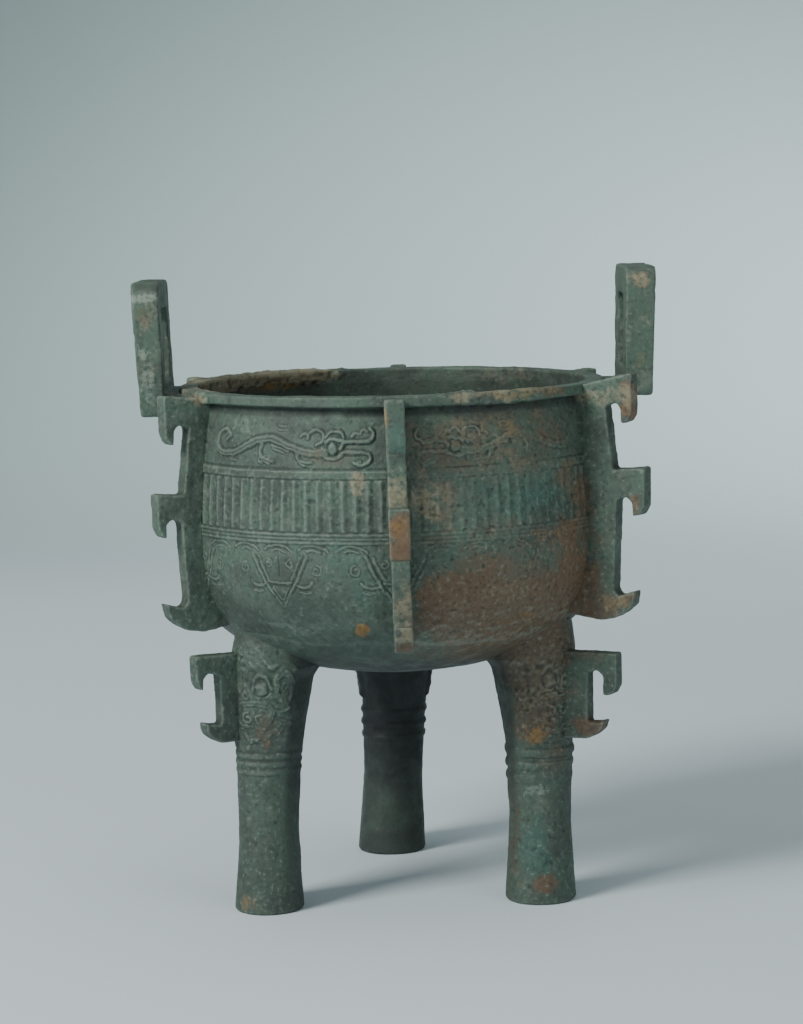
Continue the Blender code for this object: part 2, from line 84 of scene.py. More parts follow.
# ---------------------------------------------------------------- plain form
@dataclass(frozen=True)
class BowlForm:
    """Plain form of the bowl, which every other piece is set against."""

    axis_x: float = -0.00207
    rim_top: float = 0.2911
    lip_height: float = 0.0054
    lip_radius: float = 0.1202
    mouth_radius: float = 0.1102
    belly_radius: float = 0.1220
    belly_height: float = 0.208
    neck_draw: float = 0.0075
    bottom: float = 0.1285
    fullness: float = 2.4
    wall: float = 0.0044

    @property
    def under_lip(self) -> float:
        """Height of the lip's underside."""
        return self.rim_top - self.lip_height

    def radius(self, height: np.ndarray) -> np.ndarray:
        """Outer radius of the plain wall.

        Below the belly it is a superellipse, whose two shares raised to the fullness add
        up to one. Above, the radius falls with the square of the way up to the lip.

        Args:
            height: Heights above the ground.

        Returns:
            The radius at each height.
        """
        z = np.asarray(height, float)
        rise = (z - self.belly_height) / (self.under_lip - self.belly_height)
        neck = self.belly_radius - self.neck_draw * rise * rise
        depth = np.clip((self.belly_height - z) / (self.belly_height - self.bottom), 0.0, 1.0)
        power = self.fullness
        bowl = self.belly_radius * (1.0 - depth**power) ** (1.0 / power)
        return np.where(z >= self.belly_height, neck, bowl)

    def underside(self, radius: np.ndarray) -> np.ndarray:
        """Height of the bowl's outer bottom at a radius, by the same superellipse.

        Args:
            radius: Distances from the bowl's axis.

        Returns:
            The height at each radius.
        """
        share = np.clip(np.asarray(radius, float) / self.belly_radius, 0.0, 0.999)
        drop = (1.0 - share**self.fullness) ** (1.0 / self.fullness)
        return self.belly_height - (self.belly_height - self.bottom) * drop

    def place(self, azimuth: np.ndarray, radius: np.ndarray, height: np.ndarray) -> np.ndarray:
        """Points of the vessel's frame.

        Args:
            azimuth: Degrees round the bowl's axis.
            radius: Distances from the axis.
            height: Heights above the ground.

        Returns:
            An array of points, one more axis deep than the inputs.
        """
        turn = np.radians(azimuth)
        x = self.axis_x + radius * np.sin(turn)
        y = -radius * np.cos(turn)
        return np.stack(np.broadcast_arrays(x, y, height), axis=-1)


FORM = BowlForm()


# ---------------------------------------------------------------- noise and lines
def lattice_noise(points: np.ndarray, size: float, seed: int) -> np.ndarray:
    """Smooth noise in space.

    Each corner of a cubic lattice gets a fixed random value from its whole-number place,
    and a point blends the eight corners round it with a smooth step along each axis.

    Args:
        points: Points, the last axis being x, y and z.
        size: Width of one lattice cell.
        seed: Chooses another set of values.

    Returns:
        Values from -1 to 1, one for each point.
    """
    scaled = points / size
    cell = np.floor(scaled).astype(np.int64)
    part = scaled - cell
    part = part * part * (3.0 - 2.0 * part)
    total = np.zeros(points.shape[:-1])
    for corner in range(8):
        shift = np.array([corner & 1, corner >> 1 & 1, corner >> 2 & 1])
        key = (cell + shift) @ np.array([73856093, 19349663, 83492791]) + seed * 2654435761
        key = (key ^ (key >> 13)) * 1274126177
        key = (key ^ (key >> 16)) & 0xFFFF
        weight = np.where(shift == 1, part, 1.0 - part).prod(axis=-1)
        total += weight * (key / 32767.5 - 1.0)
    return total


def rough_noise(points: np.ndarray, size: float, seed: int, octaves: int = 3) -> np.ndarray:
    """Noise summed over octaves, each half as wide and half as strong as the one before.

    Args:
        points: Points, the last axis being x, y and z.
        size: Width of the widest cells.
        seed: Chooses another set of values.
        octaves: How many sizes are summed.

    Returns:
        One value for each point.
    """
    total = np.zeros(points.shape[:-1])
    for step in range(octaves):
        total += lattice_noise(points, size / 2.0**step, seed + step) / 2.0**step
    return total


def share_between(low: float, high: float, value: np.ndarray) -> np.ndarray:
    """Share of the way from one value to another, kept from 0 to 1."""
    return np.clip((value - low) / (high - low), 0.0, 1.0)


def smooth_step(low: float, high: float, value: np.ndarray) -> np.ndarray:
    """Rise from 0 at `low` to 1 at `high` with level ends; the two may be in either order."""
    share = share_between(low, high, value)
    return share * share * (3.0 - 2.0 * share)


def metres(values: Sequence[float]) -> tuple[float, ...]:
    """Sizes that are given in millimetres, in metres."""
    return tuple(value / 1000.0 for value in values)


def flowing_line(points: Sequence[Sequence[float]], steps: int = 6) -> np.ndarray:
    """Curve through points by cubic spans whose slope at a point is that of its neighbours.

    Args:
        points: Rows of coordinates.
        steps: How many pieces each span is cut into.

    Returns:
        The rows of the curve, the first and last as given.
    """
    rows = np.array(points, float)
    padded = np.vstack([2.0 * rows[0] - rows[1], rows, 2.0 * rows[-1] - rows[-2]])
    a, b, c, d = (padded[i : len(padded) - 3 + i, None] for i in range(4))
    t = np.linspace(0.0, 1.0, steps, endpoint=False)[None, :, None]
    cubic = 2.0 * b + (c - a) * t + (2.0 * a - 5.0 * b + 4.0 * c - d) * t**2
    cubic = 0.5 * (cubic + (3.0 * b - a - 3.0 * c + d) * t**3)
    return np.vstack([cubic.reshape(-1, rows.shape[1]), rows[-1:]])


def spaced_loop(outline: Outline, spacing: float, softness: float) -> np.ndarray:
    """Closed outline at even spacing with its corners eased.

    The outline is walked at equal steps, and each point then moves to the bell-weighted
    mean of its neighbours, which rounds corners to about the softness.

    Args:
        outline: Corners in order.
        spacing: Distance between points.
        softness: Width of the bell.

    Returns:
        The points of the loop.
    """
    corners = np.array(outline + outline[:1], float)
    lengths = np.linalg.norm(np.diff(corners, axis=0), axis=1)
    walked = np.concatenate([[0.0], np.cumsum(lengths)])
    count = max(12, int(round(walked[-1] / spacing)))
    at = np.linspace(0.0, walked[-1], count, endpoint=False)
    loop = np.stack([np.interp(at, walked, corners[:, k]) for k in range(2)], axis=1)
    reach = max(1, int(3.0 * softness / spacing))
    offsets = np.arange(-reach, reach + 1)
    bell = np.exp(-0.5 * (offsets * spacing / softness) ** 2)
    bell /= bell.sum()
    return sum(w * np.roll(loop, -k, axis=0) for k, w in zip(offsets, bell))


# ---------------------------------------------------------------- carving
class Cut(Enum):
    """How a stroke meets the surface."""

    RIBBON = "flat back with eased sides"
    RIDGE = "round back"
    GROOVE = "cut line"


def raise_to(field_: np.ndarray, height: np.ndarray) -> None:
    """Lift a field to the given heights, in place, where those are above nought."""
    np.copyto(field_, np.maximum(field_, height), where=height > 0.0)


def wander(field_: np.ndarray, base: np.ndarray, drift: float) -> np.ndarray:
    """Carving with its edges gone astray, as wear and corrosion leave them.

    Each point takes the height found a short way off along the columns and the rows, by
    two noises, read between the four nearest points.

    Args:
        field_: Heights, columns by rows.
        base: Points of the plain surface.
        drift: How far off the heights are read, in cells.

    Returns:
        The new heights.
    """
    count, rows = field_.shape
    size = 0.0034
    u = np.arange(count)[:, None] + drift * rough_noise(base, size, 81, 2)
    v = np.arange(rows)[None, :] + drift * rough_noise(base, size, 83, 2)
    u = np.clip(u, 0.0, count - 1.001)
    v = np.clip(v, 0.0, rows - 1.001)
    i, j = u.astype(int), v.astype(int)
    s, t = u - i, v - j
    near = (1.0 - t) * field_[i, j] + t * field_[i, j + 1]
    far = (1.0 - t) * field_[i + 1, j] + t * field_[i + 1, j + 1]
    return (1.0 - s) * near + s * far


@dataclass(frozen=True)
class Stroke:
    """One stroke of carving along points of (degrees, height, width)."""

    points: tuple[tuple[float, ...], ...]
    depth: float
    cut: Cut
    ditch: float
    ditch_off: float = 0.0003
    ditch_width: float = 0.0004
    margin: float = 0.0016

    def lay(self, field_: np.ndarray, columns: np.ndarray, rows: np.ndarray,
            sheet: "Sheet") -> None:
        """Work the stroke into a height field.

        Every point of the field takes its distance to the nearest span of the line as a
        share of the half width there. A ribbon rises by a smooth step of that share and a
        ridge by the height of a half circle, with a bell-shaped ditch just outside both,
        and a groove falls by a bell curve.

        Args:
            field_: Heights over the plain surface, columns by rows, changed in place.
            columns: Distance of each column along the surface.
            rows: Height of each row.
            sheet: Turns the stroke's degrees into distance along the surface.
        """
        line = np.array(self.points, float)
        if len(line) > 2:
            line = flowing_line(line)
        line[:, 0] = sheet.along(line[:, 0])
        line[:, 2] *= sheet.slender
        grow = line[:, 2].max() * 0.6 + self.margin
        left, right = np.searchsorted(columns, [line[:, 0].min() - grow, line[:, 0].max() + grow])
        low, high = np.searchsorted(rows, [line[:, 1].min() - grow, line[:, 1].max() + grow])
        if left >= right or low >= high:
            return
        s = columns[left:right, None]
        z = rows[None, low:high]
        share = np.full((right - left, high - low), 9.0)
        off = np.full((right - left, high - low), 9.0)
        for (x0, z0, w0), (x1, z1, w1) in zip(line[:-1], line[1:]):
            dx, dz = x1 - x0, z1 - z0
            t = np.clip(((s - x0) * dx + (z - z0) * dz) / max(dx * dx + dz * dz, 1e-12), 0.0, 1.0)
            far = np.hypot(s - x0 - t * dx, z - z0 - t * dz)
            half = 0.5 * (w0 + (w1 - w0) * t)
            share = np.minimum(share, far / half)
            off = np.minimum(off, far - half)
        window = field_[left:right, low:high]
        if self.cut is Cut.GROOVE:
            window -= self.depth * np.exp(-2.0 * share * share)
            return
        bell = np.exp(-(((off - self.ditch_off) / self.ditch_width) ** 2))
        ditch = np.minimum(window, -self.ditch * bell)
        np.copyto(window, ditch, where=window < 0.0001)
        if self.cut is Cut.RIDGE:
            raise_to(window, self.depth * np.sqrt(np.clip(1.0 - share * share, 0.0, 1.0)))
        else:
            raise_to(window, self.depth * smooth_step(1.0, 0.6, share))


@dataclass(frozen=True)
class Boss:
    """Low round or oval knob at (degrees, height), with a cut line round it."""

    centre: tuple[float, float]
    half_width: float
    half_height: float
    depth: float
    ring: float
    ring_at: float = 1.2
    ring_width: float = 0.14

    def lay(self, field_: np.ndarray, columns: np.ndarray, rows: np.ndarray,
            sheet: "Sheet") -> None:
        """Raise the knob as half an ellipsoid and sink a bell-shaped ring just outside it.

        Args:
            field_: Heights over the plain surface, changed in place.
            columns: Distance of each column along the surface.
            rows: Height of each row.
            sheet: Turns degrees into distance along the surface.
        """
        s = (columns[:, None] - sheet.along(np.array([self.centre[0]]))[0]) / self.half_width
        z = (rows[None, :] - self.centre[1]) / self.half_height
        share = np.hypot(s, z)
        raise_to(field_, self.depth * np.sqrt(np.clip(1.0 - share * share, 0.0, 1.0)))
        field_ -= self.ring * np.exp(-(((share - self.ring_at) / self.ring_width) ** 2))


@dataclass(frozen=True)
class Sheet:
    """Where drawn degrees come to lie, about a middle line, and how slender strokes are."""

    middle: float
    turn: float
    radius: float
    slender: float = 1.0

    def along(self, degrees: np.ndarray) -> np.ndarray:
        """Distance along the surface for drawn degrees."""
        return np.radians(self.middle + self.turn * degrees) * self.radius


def swelling(depth: float, *points: tuple[float, float, float], cut: Cut = Cut.RIBBON,
             ditch: float = 0.3) -> Stroke:
    """Stroke whose width changes on its way; all but the degrees are millimetres.

    Args:
        depth: How far it stands out or is cut in.
        points: Points of (degrees, height, width).
        cut: How it meets the surface.
        ditch: Depth of the ditch along it.

    Returns:
        The stroke.
    """
    line = tuple((degrees, *metres((height, width))) for degrees, height, width in points)
    return Stroke(line, *metres((depth,)), cut, *metres((ditch,)))


def ribbon(width: float, depth: float, *points: tuple[float, float], cut: Cut = Cut.RIBBON) -> Stroke:
    """Stroke of one width through points of (degrees, height), with a flat back."""
    return swelling(depth, *((degrees, height, width) for degrees, height in points), cut=cut)


def ridge(width: float, depth: float, *points: tuple[float, float]) -> Stroke:
    """Stroke of one width with a round back."""
    return ribbon(width, depth, *points, cut=Cut.RIDGE)


def groove(width: float, depth: float, *points: tuple[float, float]) -> Stroke:
    """Cut line of one width."""
    return ribbon(width, depth, *points, cut=Cut.GROOVE)


def knob(degrees: float, *sizes: float) -> Boss:
    """Knob from its height, half width, half height, depth and ring, in millimetres."""
    height, *others = metres(sizes)
    return Boss((degrees, height), *others)


def spiral(centre: tuple[float, float], first: float, last: float, start: float, sweep: float,
           radius: float, count: int = 14) -> tuple[tuple[float, float], ...]:
    """Points of a curl whose radius changes evenly with its turn.

    Args:
        centre: Its middle, as (degrees, millimetres up).
        first: Radius at the start, in millimetres.
        last: Radius at the end, in millimetres.
        start: Direction of the start, in degrees in the sheet.
        sweep: How far it turns, in degrees.
        radius: Radius of the surface that it is drawn on.
        count: Number of points.

    Returns:
        Points of (degrees, millimetres up).
    """
    turns = np.radians(np.linspace(start, start + sweep, count))
    reach = np.linspace(first, last, count)
    wide = centre[0] + np.degrees(reach * np.cos(turns) / (1000.0 * radius))
    return tuple(zip(wide.tolist(), (centre[1] + reach * np.sin(turns)).tolist()))


def lay_all(marks: Sequence[Stroke | Boss], field_: np.ndarray, columns: np.ndarray,
            rows: np.ndarray, sheet: Sheet) -> None:
    """Work raised marks and then cut ones into a height field."""
    for mark in sorted(marks, key=lambda m: isinstance(m, Stroke) and m.cut is Cut.GROOVE):
        mark.lay(field_, columns, rows, sheet)


# ---------------------------------------------------------------- colour layers
class Layer(Enum):
    """Mineral layers over the patina, with soot and painted shade, each kept as an attribute of the mesh."""

    RELIEF = "relief"
    EARTH = "earth"
    RUST = "rust"
    OCHRE = "ochre"
    BLOOM = "bloom"
    TEAL = "teal"
    # Soot stains, and the painted shade that the pieces lay.
    SOOT_AND_SHADE = "soot_and_painted_shade"


@dataclass(frozen=True)
class Stain:
    """A patch of one layer: an ellipsoid in space with a ragged edge."""

    layer: Layer
    centre: tuple[float, float, float]
    radii: tuple[float, float, float]
    strength: float = 1.0
    ragged: float = 0.45

    def cover(self, points: np.ndarray) -> np.ndarray:
        """How much of the layer lies on each point.

        The distance from the centre as a share of the radii, shaken by noise, falls by a
        smooth step from full inside to none just outside the ellipsoid.

        Args:
            points: Points in the vessel's frame.

        Returns:
            Values from 0 to the strength.
        """
        radii = np.array(self.radii)
        share = np.linalg.norm((points - np.array(self.centre)) / radii, axis=-1)
        result = np.zeros(len(points))
        near = share < 1.25 + 1.6 * self.ragged
        size = max(0.004, float(radii.min()) * 0.7)
        shaken = share[near] + self.ragged * rough_noise(points[near], size, 11)
        result[near] = self.strength * smooth_step(1.25, 0.45, shaken)
        return result


def patches(layer: Layer, *rows: tuple[float, ...]) -> tuple[Stain, ...]:
    """Stains of one layer.

    Args:
        layer: The layer.
        rows: Centre and radii in millimetres, then strength and raggedness where they differ.

    Returns:
        The stains, in the order of the rows.
    """
    return tuple(Stain(layer, metres(row[:3]), metres(row[3:6]), *row[6:]) for row in rows)


BELLY_STAINS = (
    *patches(Layer.RUST, (60, -104, 264, 66, 60, 24, 0.4, 0.2), (20, -120, 234, 14, 18, 18, 0.36, 0.3),
             (60, -104, 214, 66, 60, 12, 0.36, 0.3), (60, -94, 166, 66, 74, 46, 0.9, 0.18),
             (26, -114, 180, 22, 30, 22, 1.0, 0.3), (60, -92, 166, 50, 50, 14, 1.0, 0.3),
             (94, -75, 188, 18, 24, 34, 1.0, 0.3), (54, -72, 148, 42, 62, 9, 0.9, 0.3),
             (100, -67, 222, 9, 14, 32, 0.5, 0.3), (91, -76, 243, 10, 14, 14, 0.5, 0.3),
             (-36, -114, 260, 18, 22, 7, 0.25), (40, -108, 186, 12, 20, 12, 0.95, 0.35)),
    *patches(Layer.OCHRE, (70, -90, 160, 50, 50, 14, 0.22, 0.3), (60, -99, 271, 9, 12, 6, 0.25),
             (79, -91, 214, 20, 26, 5, 0.2), (-20.8, -110, 165.2, 4.2, 12, 4.6, 1.9, 0.25)),
    *patches(Layer.EARTH, (48, -104, 270, 50, 50, 18, 0.24, 0.3), (16, -120, 234, 11, 14, 18, 0.36),
             (57, -104, 184, 18, 24, 11, 0.22), (-20.6, -119, 246.5, 4.5, 12, 7.5, 0.6)),
    *patches(Layer.TEAL, (62, -103, 233, 34, 38, 16, 0.44), (-29, -119, 207.9, 14, 18, 10, 0.4),
             (-19, -119, 189, 10, 14, 15, 0.4)),
    # Soot patches: the wide one under the bottom and the weak one over the front-left wall are painted shade;
    # the rest darken the lower belly and the wall beside the front flange.
    *patches(Layer.SOOT_AND_SHADE, (-10, -116, 176.5, 7, 12, 16, 0.35, 0.25),
             (-2, -20, 137, 105, 105, 24, 0.48, 0.2), (-26, -98, 152, 44, 50, 22, 0.42, 0.2),
             (-85, -78, 166, 30, 40, 22, 0.3, 0.2), (-50, -105, 195, 60, 50, 20, 0.2, 0.3),
             (-4, -121, 195, 7, 14, 30, 0.3, 0.2)),
    *patches(Layer.BLOOM, (-84, -83, 272, 9, 12, 9, 0.22)),
)
RIM_STAINS = (
    *patches(Layer.EARTH, (-106, -30, 289.5, 18, 36, 6, 0.42, 0.4), (-108, 34, 290, 14, 24, 6, 0.8, 0.35),
             (35, -114.5, 289.7, 11, 14, 3.4, 0.6), (62, -102, 290, 30, 36, 5, 0.45),
             (-86, 70, 290, 32, 40, 6.5, 1.3, 0.3), (-55, 97, 288, 28, 30, 5.5, 1.1, 0.35),
             (-101, 48, 285, 12, 18, 4, 0.9)),
    *patches(Layer.RUST, (-110, 10, 289.5, 18, 44, 6, 0.35, 0.4), (82, -86, 290, 16, 20, 4.5, 0.5),
             (-75, 80, 284, 40, 30, 6, 0.45)),
    *patches(Layer.OCHRE, (-66, 88, 285, 22, 22, 5, 0.5, 0.35), (66, -100, 290, 24, 36, 5, 0.4)),
    *patches(Layer.SOOT_AND_SHADE, (-66, -98, 288.5, 62, 40, 6, 0.22, 0.2)),
)
FLANGE_STAINS = (
    *patches(Layer.EARTH, (123.7, -71.1, 286.4, 7.5, 14, 7.5, 0.6), (110, -64.8, 282.9, 13, 14, 7, 0.45),
             (118, -69, 171.3, 8.5, 12, 6, 0.35), (0.4, -132, 240.5, 10, 14, 12, 0.52, 0.3),
             (3, -134, 178, 7, 14, 17, 0.55, 0.35), (3, -142.1, 165.5, 8, 12, 2.2, 0.95, 0.3),
             (-106.9, -59.9, 287.8, 6.5, 12, 3.5, 0.7)),
    *patches(Layer.RUST, (126.1, -72.6, 280, 6, 14, 12, 0.8), (129.1, -73.6, 228.1, 4, 14, 7, 0.55),
             (122, -72.1, 174, 10, 14, 6, 0.6), (104, -62.6, 101, 12, 14, 7, 0.8),
             (2.4, -149, 224, 10, 14, 10.5, 1.0, 0.25), (2.4, -149, 213, 10, 14, 10.5, 1.0, 0.3),
             (3, -134, 178, 9, 14, 23, 0.42, 0.25), (3, -135.6, 159.1, 8, 14, 6, 0.9, 0.3)),
    *patches(Layer.OCHRE, (118, -69, 171.3, 8.5, 12, 6, 0.35), (-6.2, -142.4, 282.5, 2.4, 12, 9, 0.4, 0.3),
             (2.4, -149, 223.5, 10, 14, 9.5, 0.18, 0.25)),
    *patches(Layer.SOOT_AND_SHADE, (0, -140, 270, 10, 14, 30, 0.16, 0.2), (2.4, -146, 217, 10, 16, 18, 0.28, 0.2)),
    *patches(Layer.TEAL, (1.2, -142.6, 272, 6, 12, 18, 0.38, 0.3)),
)
HANDLE_STAINS = (
    *patches(Layer.RUST, (-138.3, -38.1, 332.8, 5, 14, 5.6, 0.45), (135.6, -37.3, 347, 5.6, 14, 5.6, 0.5)),
    *patches(Layer.EARTH, (-136.8, -38, 329.5, 5.6, 14, 7.8, 0.3), (-137, -38, 320, 12, 16, 36, 0.21, 0.3),
             (135.1, -37.3, 347.7, 5.6, 14, 5.6, 0.62), (135, -38, 318, 12, 16, 36, 0.16, 0.3)),
    *patches(Layer.BLOOM, (-139, -38, 312.9, 5, 14, 5, 0.62), (-136.4, -38, 293, 5, 14, 15.6, 0.46),
             (-138, -38, 342.1, 7.2, 14, 2.8, 0.62)),
    *patches(Layer.SOOT_AND_SHADE, (-135.8, -35.1, 348.6, 10, 14, 2.8, 0.45)),
    *patches(Layer.OCHRE, (135.6, -38.1, 303, 4.4, 14, 5, 0.3)),
)
LEG_STAINS = (
    *patches(Layer.RUST, (-74.9, -67.4, 102.1, 6, 12, 10, 0.5), (60.4, -48.8, 41, 5.5, 12, 36, 0.4),
             (75, -60, 122, 21, 20, 32, 0.66, 0.3), (77.2, -59, 12, 9, 12, 7, 0.7, 0.3),
             (82, -57, 84, 14, 14, 14, 0.35)),
    *patches(Layer.OCHRE, (-88.9, -63.7, 7.9, 9, 12, 6, 0.16), (73.2, -59.3, 97.4, 9, 12, 6, 0.42, 0.3)),
    *patches(Layer.BLOOM, (-83.7, -65.7, 146, 11, 14, 9, 0.4), (74.9, -57.5, 65.9, 8, 12, 3, 0.5)),
    *patches(Layer.EARTH, (76, -60, 126, 14, 16, 26, 0.26, 0.4)),
    *patches(Layer.TEAL, (70.2, -57.7, 28, 12, 14, 20, 0.75, 0.3)),
)
BACK_STAINS = (
    *patches(Layer.RUST, (60, 100, 176, 40, 30, 22, 0.8), (-85, 70, 165, 30, 30, 18, 0.7),
             (-3, 145, 200, 10, 16, 16, 0.5)),
    *patches(Layer.EARTH, (70, 90, 287, 30, 20, 6, 0.3), (-35, 115, 236, 18, 12, 12, 0.45),
             (-3, 142, 250, 10, 16, 14, 0.6)),
    *patches(Layer.TEAL, (-70, 95, 205, 30, 30, 20, 0.5), (118, 20, 200, 14, 30, 22, 0.4)),
    *patches(Layer.OCHRE, (-114, 35, 222, 12, 10, 7, 0.6)),
    *patches(Layer.BLOOM, (100, 70, 250, 20, 20, 16, 0.4)),
)
STAINS = BELLY_STAINS + RIM_STAINS + FLANGE_STAINS + HANDLE_STAINS + LEG_STAINS + BACK_STAINS


def crust_over(points: np.ndarray) -> np.ndarray:
    """Cover of the crusts thick enough to bury carving, in the shape of the points' grid.

    Args:
        points: Points in the vessel's frame.

    Returns:
        Values from 0 to 1, one for each point.
    """
    flat = points.reshape(-1, 3)
    cover = np.zeros(len(flat))
    for stain in STAINS:
        if stain.layer in (Layer.EARTH, Layer.RUST):
            cover = np.maximum(cover, stain.cover(flat))
    return cover.reshape(points.shape[:-1])


def layer_masks(points: np.ndarray) -> dict[Layer, np.ndarray]:
    """The strongest cover of each mineral layer at each point.

    Args:
        points: Points in the vessel's frame.

    Returns:
        The values of each layer, one for each point.
    """
    masks = {layer: np.zeros(len(points)) for layer in Layer if layer is not Layer.RELIEF}
    for stain in STAINS:
        masks[stain.layer] = np.maximum(masks[stain.layer], stain.cover(points))
    return masks


# ---------------------------------------------------------------- meshes
def tube_faces(stations: int, around: int, closed: bool = False) -> Faces:
    """Faces of rings of points skinned along a path, the ends capped unless it closes.

    Args:
        stations: Number of rings.
        around: Points in each ring.
        closed: Whether the last ring joins the first.

    Returns:
        Faces as tuples of point numbers, facing out of rings that turn anticlockwise as
        seen from the path's far end.
    """
    ring = np.arange(stations if closed else stations - 1)[:, None] * around
    point = np.arange(around)[None, :]
    following = (point + 1) % around
    nxt = (ring + around) % (stations * around)
    quads = np.stack(np.broadcast_arrays(ring + point, ring + following, nxt + following, nxt + point), -1)
    faces = [tuple(f) for f in quads.reshape(-1, 4).tolist()]
    if not closed:
        faces.append(tuple(range(around - 1, -1, -1)))
        faces.append(tuple(range((stations - 1) * around, stations * around)))
    return faces


def mesh_rows(values: bpy.types.bpy_prop_collection, key: str, width: int,
              kind: type = float) -> np.ndarray:
    """Read one property of a mesh's parts.

    Args:
        values: The parts, such as its vertices.
        key: The property.
        width: How many numbers each part has.
        kind: Type of the numbers.

    Returns:
        A row for each part.
    """
    flat = np.empty(len(values) * width, kind)
    values.foreach_get(key, flat)
    return flat.reshape(-1, width)


def stand(name: str, data: bpy.types.ID) -> bpy.types.Object:
    """Make an object of a mesh, a light or a camera and put it in the scene."""
    made = bpy.data.objects.new(name, data)
    bpy.context.scene.collection.objects.link(made)
    return made


def relief_of(mesh: bpy.types.Mesh, reach: float) -> np.ndarray:
    """How far each point stands out of its neighbourhood, 0.5 being level.

    Positions are averaged with their neighbours again and again until the mean covers the
    reach, and the way back to the true position is measured along the normal.

    Args:
        mesh: The finished mesh.
        reach: Distance over which the surface is averaged.

    Returns:
        Values from 0 in hollows to 1 on edges.
    """
    count = len(mesh.vertices)
    points = mesh_rows(mesh.vertices, "co", 3)
    normals = mesh_rows(mesh.vertex_normals, "vector", 3)
    ends = mesh_rows(mesh.edges, "vertices", 2, np.int64)
    length = float(np.median(np.linalg.norm(points[ends[:, 0]] - points[ends[:, 1]], axis=1)))
    rounds = int(np.clip((reach / length) ** 2, 2, 14))
    start = np.concatenate([ends[:, 0], ends[:, 1]])
    stop = np.concatenate([ends[:, 1], ends[:, 0]])
    degree = np.maximum(np.bincount(start, minlength=count), 1)
    mean = points.copy()
    for _ in range(rounds):
        summed = [np.bincount(start, weights=mean[stop, k], minlength=count) for k in range(3)]
        mean = 0.5 * mean + 0.5 * np.stack(summed, axis=1) / degree[:, None]
    height = ((points - mean) * normals).sum(axis=1)
    return np.clip(0.5 + height / (0.32 * reach), 0.0, 1.0)


@dataclass
class Foundry:
    """Turns computed surfaces into finished pieces of the vessel."""

    material: bpy.types.Material
    limits: np.ndarray
    relief_reach: float = 0.0016
    made: list[bpy.types.Object] = field(default_factory=list)

    def pour(self, name: str, points: np.ndarray, faces: Faces,
             shade_and_soot_cover: float | np.ndarray = 0.0) -> bpy.types.Object:
        """Make one piece, with its layers as attributes, and set it in the frame.

        Args:
            name: Name of the piece.
            points: Its points in the vessel's frame.
            faces: Its faces, outward.
            shade_and_soot_cover: Least cover of the layer of soot and painted shade, all over or for each
                point; the pieces lay painted shade with it.

        Returns:
            The finished object.
        """
        flat = np.clip(points.reshape(-1, 3), self.limits[0], self.limits[1])
        mesh = bpy.data.meshes.new(name)
        mesh.from_pydata(flat.tolist(), [], faces)
        mesh.update()
        mesh.shade_smooth()
        masks = layer_masks(flat)
        # Painted shade from the piece joins the soot stains in one layer.
        masks[Layer.SOOT_AND_SHADE] = np.maximum(masks[Layer.SOOT_AND_SHADE], shade_and_soot_cover)
        masks[Layer.RELIEF] = relief_of(mesh, self.relief_reach)
        for layer, values in masks.items():
            attribute = mesh.attributes.new(layer.value, "FLOAT", "POINT")
            attribute.data.foreach_set("value", values.astype(np.float32))
        mesh.materials.append(self.material)
        piece = stand(name, mesh)
        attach(piece, BODY)
        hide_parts(NODE)
        self.made.append(piece)
        LOG.info("%s: %d points, %d faces", name, len(flat), len(faces))
        return piece

    def pour_melted(self, name: str, bodies: Sequence[Body], cell: float, grain: float) -> None:
        """Melt bodies into one soft-edged skin, roughen it and pour it.

        Args:
            name: Name of the piece.
            bodies: Points and faces of each closed body.
            cell: Width of the skin's faces.
            grain: Strength of the unevenness.
        """
        points, faces, normals = fuse(bodies, cell)
        self.pour(name, points + normals * cast_skin(points, grain)[:, None], faces)


def fuse(bodies: Sequence[Body], cell: float, rounds: int = 4) -> tuple[np.ndarray, Faces, np.ndarray]:
    """Melt closed bodies into one even skin and ease its edges, as a casting's are.

    Args:
        bodies: Points and faces of each closed body.
        cell: Width of the skin's faces.
        rounds: How many times its edges are eased.

    Returns:
        Points, faces and the normal of each point.
    """
    points: list[list[float]] = []
    faces: Faces = []
    for body_points, body_faces in bodies:
        base = len(points)
        points += body_points.reshape(-1, 3).tolist()
        faces += [tuple(base + i for i in f) for f in body_faces]
    mesh = bpy.data.meshes.new("core")
    mesh.from_pydata(points, [], faces)
    core = stand("core", mesh)
    skin = core.modifiers.new("skin", "REMESH")
    skin.mode = "VOXEL"
    skin.voxel_size = cell
    ease = core.modifiers.new("ease", "SMOOTH")
    ease.factor = 0.5
    ease.iterations = rounds
    view = bpy.context.evaluated_depsgraph_get()
    melted = bpy.data.meshes.new_from_object(core.evaluated_get(view))
    out = mesh_rows(melted.vertices, "co", 3)
    normals = mesh_rows(melted.vertex_normals, "vector", 3)
    corners = mesh_rows(melted.loops, "vertex_index", 1, np.int64)
    quads = [tuple(f) for f in corners.reshape(-1, 4).tolist()]
    bpy.data.objects.remove(core)
    bpy.data.meshes.remove(mesh)
    bpy.data.meshes.remove(melted)
    return out, quads, normals


def cast_skin(points: np.ndarray, grain: float = 1.0) -> np.ndarray:
    """Unevenness of the cast and corroded surface at each point.

    Broad swells and finer bumps are added, and where another noise runs high, small pits
    are sunk.

    Args:
        points: Points in the vessel's frame.
        grain: Strength of the whole.

    Returns:
        Heights to add along the normals.
    """
    swell_height, bump_height, pit_depth = metres((0.22, 0.12, 0.18))
    swell_size, bump_size, pit_size = metres((16.0, 3.4, 4.0))
    swell = swell_height * rough_noise(points, swell_size, 3)
    bumps = bump_height * rough_noise(points, bump_size, 7, 2)
    pits = -pit_depth * smooth_step(0.50, 1.00, rough_noise(points, pit_size, 23, 2))
    return grain * (swell + bumps + pits)


